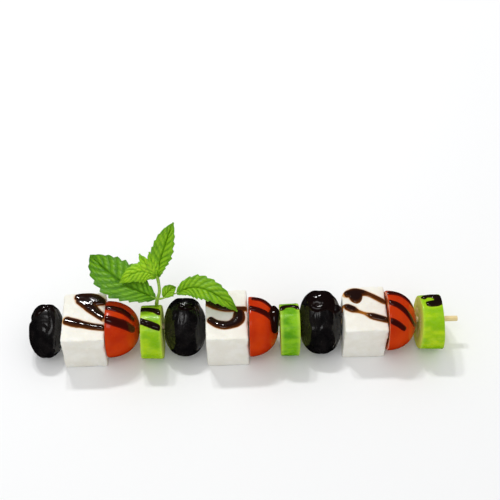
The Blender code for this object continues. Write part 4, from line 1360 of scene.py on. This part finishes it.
def finish_marks(name, kind, obj, strokes):
    """What the material needs to know at each point."""
    points = point_vectors(obj)
    marks = {}
    if kind == "feta":
        marks["stain"] = smoothstep(STAIN, -STAIN, strokes.beyond(points))
    if kind in ("tomato", "cucumber"):
        facts = (TOMATOES if kind == "tomato" else CUCUMBERS)[name]
        across = points[:, 1:] - [facts.centre_y, facts.centre_z]
        reach = np.linalg.norm(across, axis=1)
        rho = marks["rho"] = reach / reach.max()
        from_left = points[:, 0] - points[:, 0].min()
    if kind == "tomato":
        marks["cut"] = smoothstep(*TOMATO_CUT, from_left) * (rho < TOMATO_CUT_EDGE)
    if kind == "cucumber":
        flat = np.abs(point_vectors(obj, "normal")[:, 0])
        marks["cut"] = smoothstep(*CUCUMBER_CUT, flat) * (rho < CUCUMBER_CUT_EDGE)
        marks["seed"] = seeds_at(*(across / reach.max()).T) * marks["cut"]
        marks["tone"] = np.full(len(points), TONES[name])
        inside = np.minimum(from_left, points[:, 0].max() - points[:, 0])
        marks["rim"] = smoothstep(CUCUMBER_PALE_RIM, 0.0, inside)
    mark(obj, **marks)


def build_food():
    bore = bore_object()
    finishes = {kind: finish() for kind, (_, finish) in FOODS.items()}
    laid = {}
    for name in LENGTHS:
        kind = kind_of(name)
        points, tris = FOODS[kind][0](name)
        laid[name] = Strokes(name, points, tris)
        obj = bored(piece(f"{name}_food", points, tris), bore)
        finish_marks(name, kind, obj, laid[name])
        obj.data.materials.append(finishes[kind])
        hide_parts(name)
        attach(obj, "root")
    bpy.data.objects.remove(bore, do_unlink=True)
    build_glaze(laid)


def build_stick():
    points, tris = stick_form()
    obj = piece("bamboo_stick", points, tris)
    obj.data.set_sharp_from_angle(angle=SHARP)
    obj.data.materials.append(bamboo_finish())
    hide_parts("stick")
    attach(obj, "root")


def build_mint():
    leaves, stems = Pile(), Pile()
    shift = [STARTS[MINT_RESTS_ON], 0, 0]
    for number, leaf in enumerate(MINT_LEAVES):
        points, tris, marks = leaf_form(leaf, LEAF_SEEDS + number)
        leaves.add(points + shift, tris, **marks)
    tubes = [(MINT_STEM, MINT_STEM_DIAMETER, MINT_STEM_SLIMMING)]
    tubes += [(route, MINT_PETIOLE_DIAMETER, MINT_PETIOLE_SLIMMING) for route in MINT_PETIOLES]
    for route, diameter, slimming in tubes:
        points, tris = mint_tube(route, diameter, slimming)
        stems.add(points + shift, tris)
    blades = leaves.made("mint_leaves")
    blades.data.materials.append(mint_finish())
    stalks = stems.made("mint_stem")
    stalks.data.materials.append(stem_finish())
    for obj in (blades, stalks):
        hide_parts("mint_sprig")
        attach(obj, "root")


def build_stage():
    corners = np.array([(-1, -1, 0), (1, -1, 0), (1, 1, 0), (-1, 1, 0)]) * FLOOR_SIZE
    floor = piece("floor", corners - [0, 0, FLOOR_LOWERED], np.array([[0, 1, 2], [0, 2, 3]]))
    floor.data.materials.append(floor_finish())
    floor.visible_glossy = False
    world = bpy.data.worlds.new("studio")
    bpy.context.scene.world = world
    world.use_nodes = True
    background = world.node_tree.nodes["Background"]
    background.inputs["Color"].default_value = (*WHITE, 1.0)
    background.inputs["Strength"].default_value = WORLD_STRENGTH
    world.cycles_visibility.glossy = False
    for name, place, extent, watts in LAMPS:
        light = bpy.data.lights.new(name, "AREA")
        light.shape = "RECTANGLE"
        light.size, light.size_y = extent
        light.energy = watts
        lamp = added(name, light)
        lamp.location = place
        lamp.rotation_euler = (LAMPS_AIM - Vector(place)).to_track_quat("-Z", "Y").to_euler()


def build_camera():
    data = bpy.data.cameras.new("camera")
    data.lens = CAMERA_LENS
    data.sensor_width = 36.0
    data.clip_start = 0.01
    camera = added("camera", data)
    camera.location = CAMERA_PLACE
    camera.rotation_euler = CAMERA_TURN
    bpy.context.scene.camera = camera


build_food()
build_stick()
build_mint()
build_stage()
build_camera()
bpy.context.scene.view_settings.view_transform = "Standard"
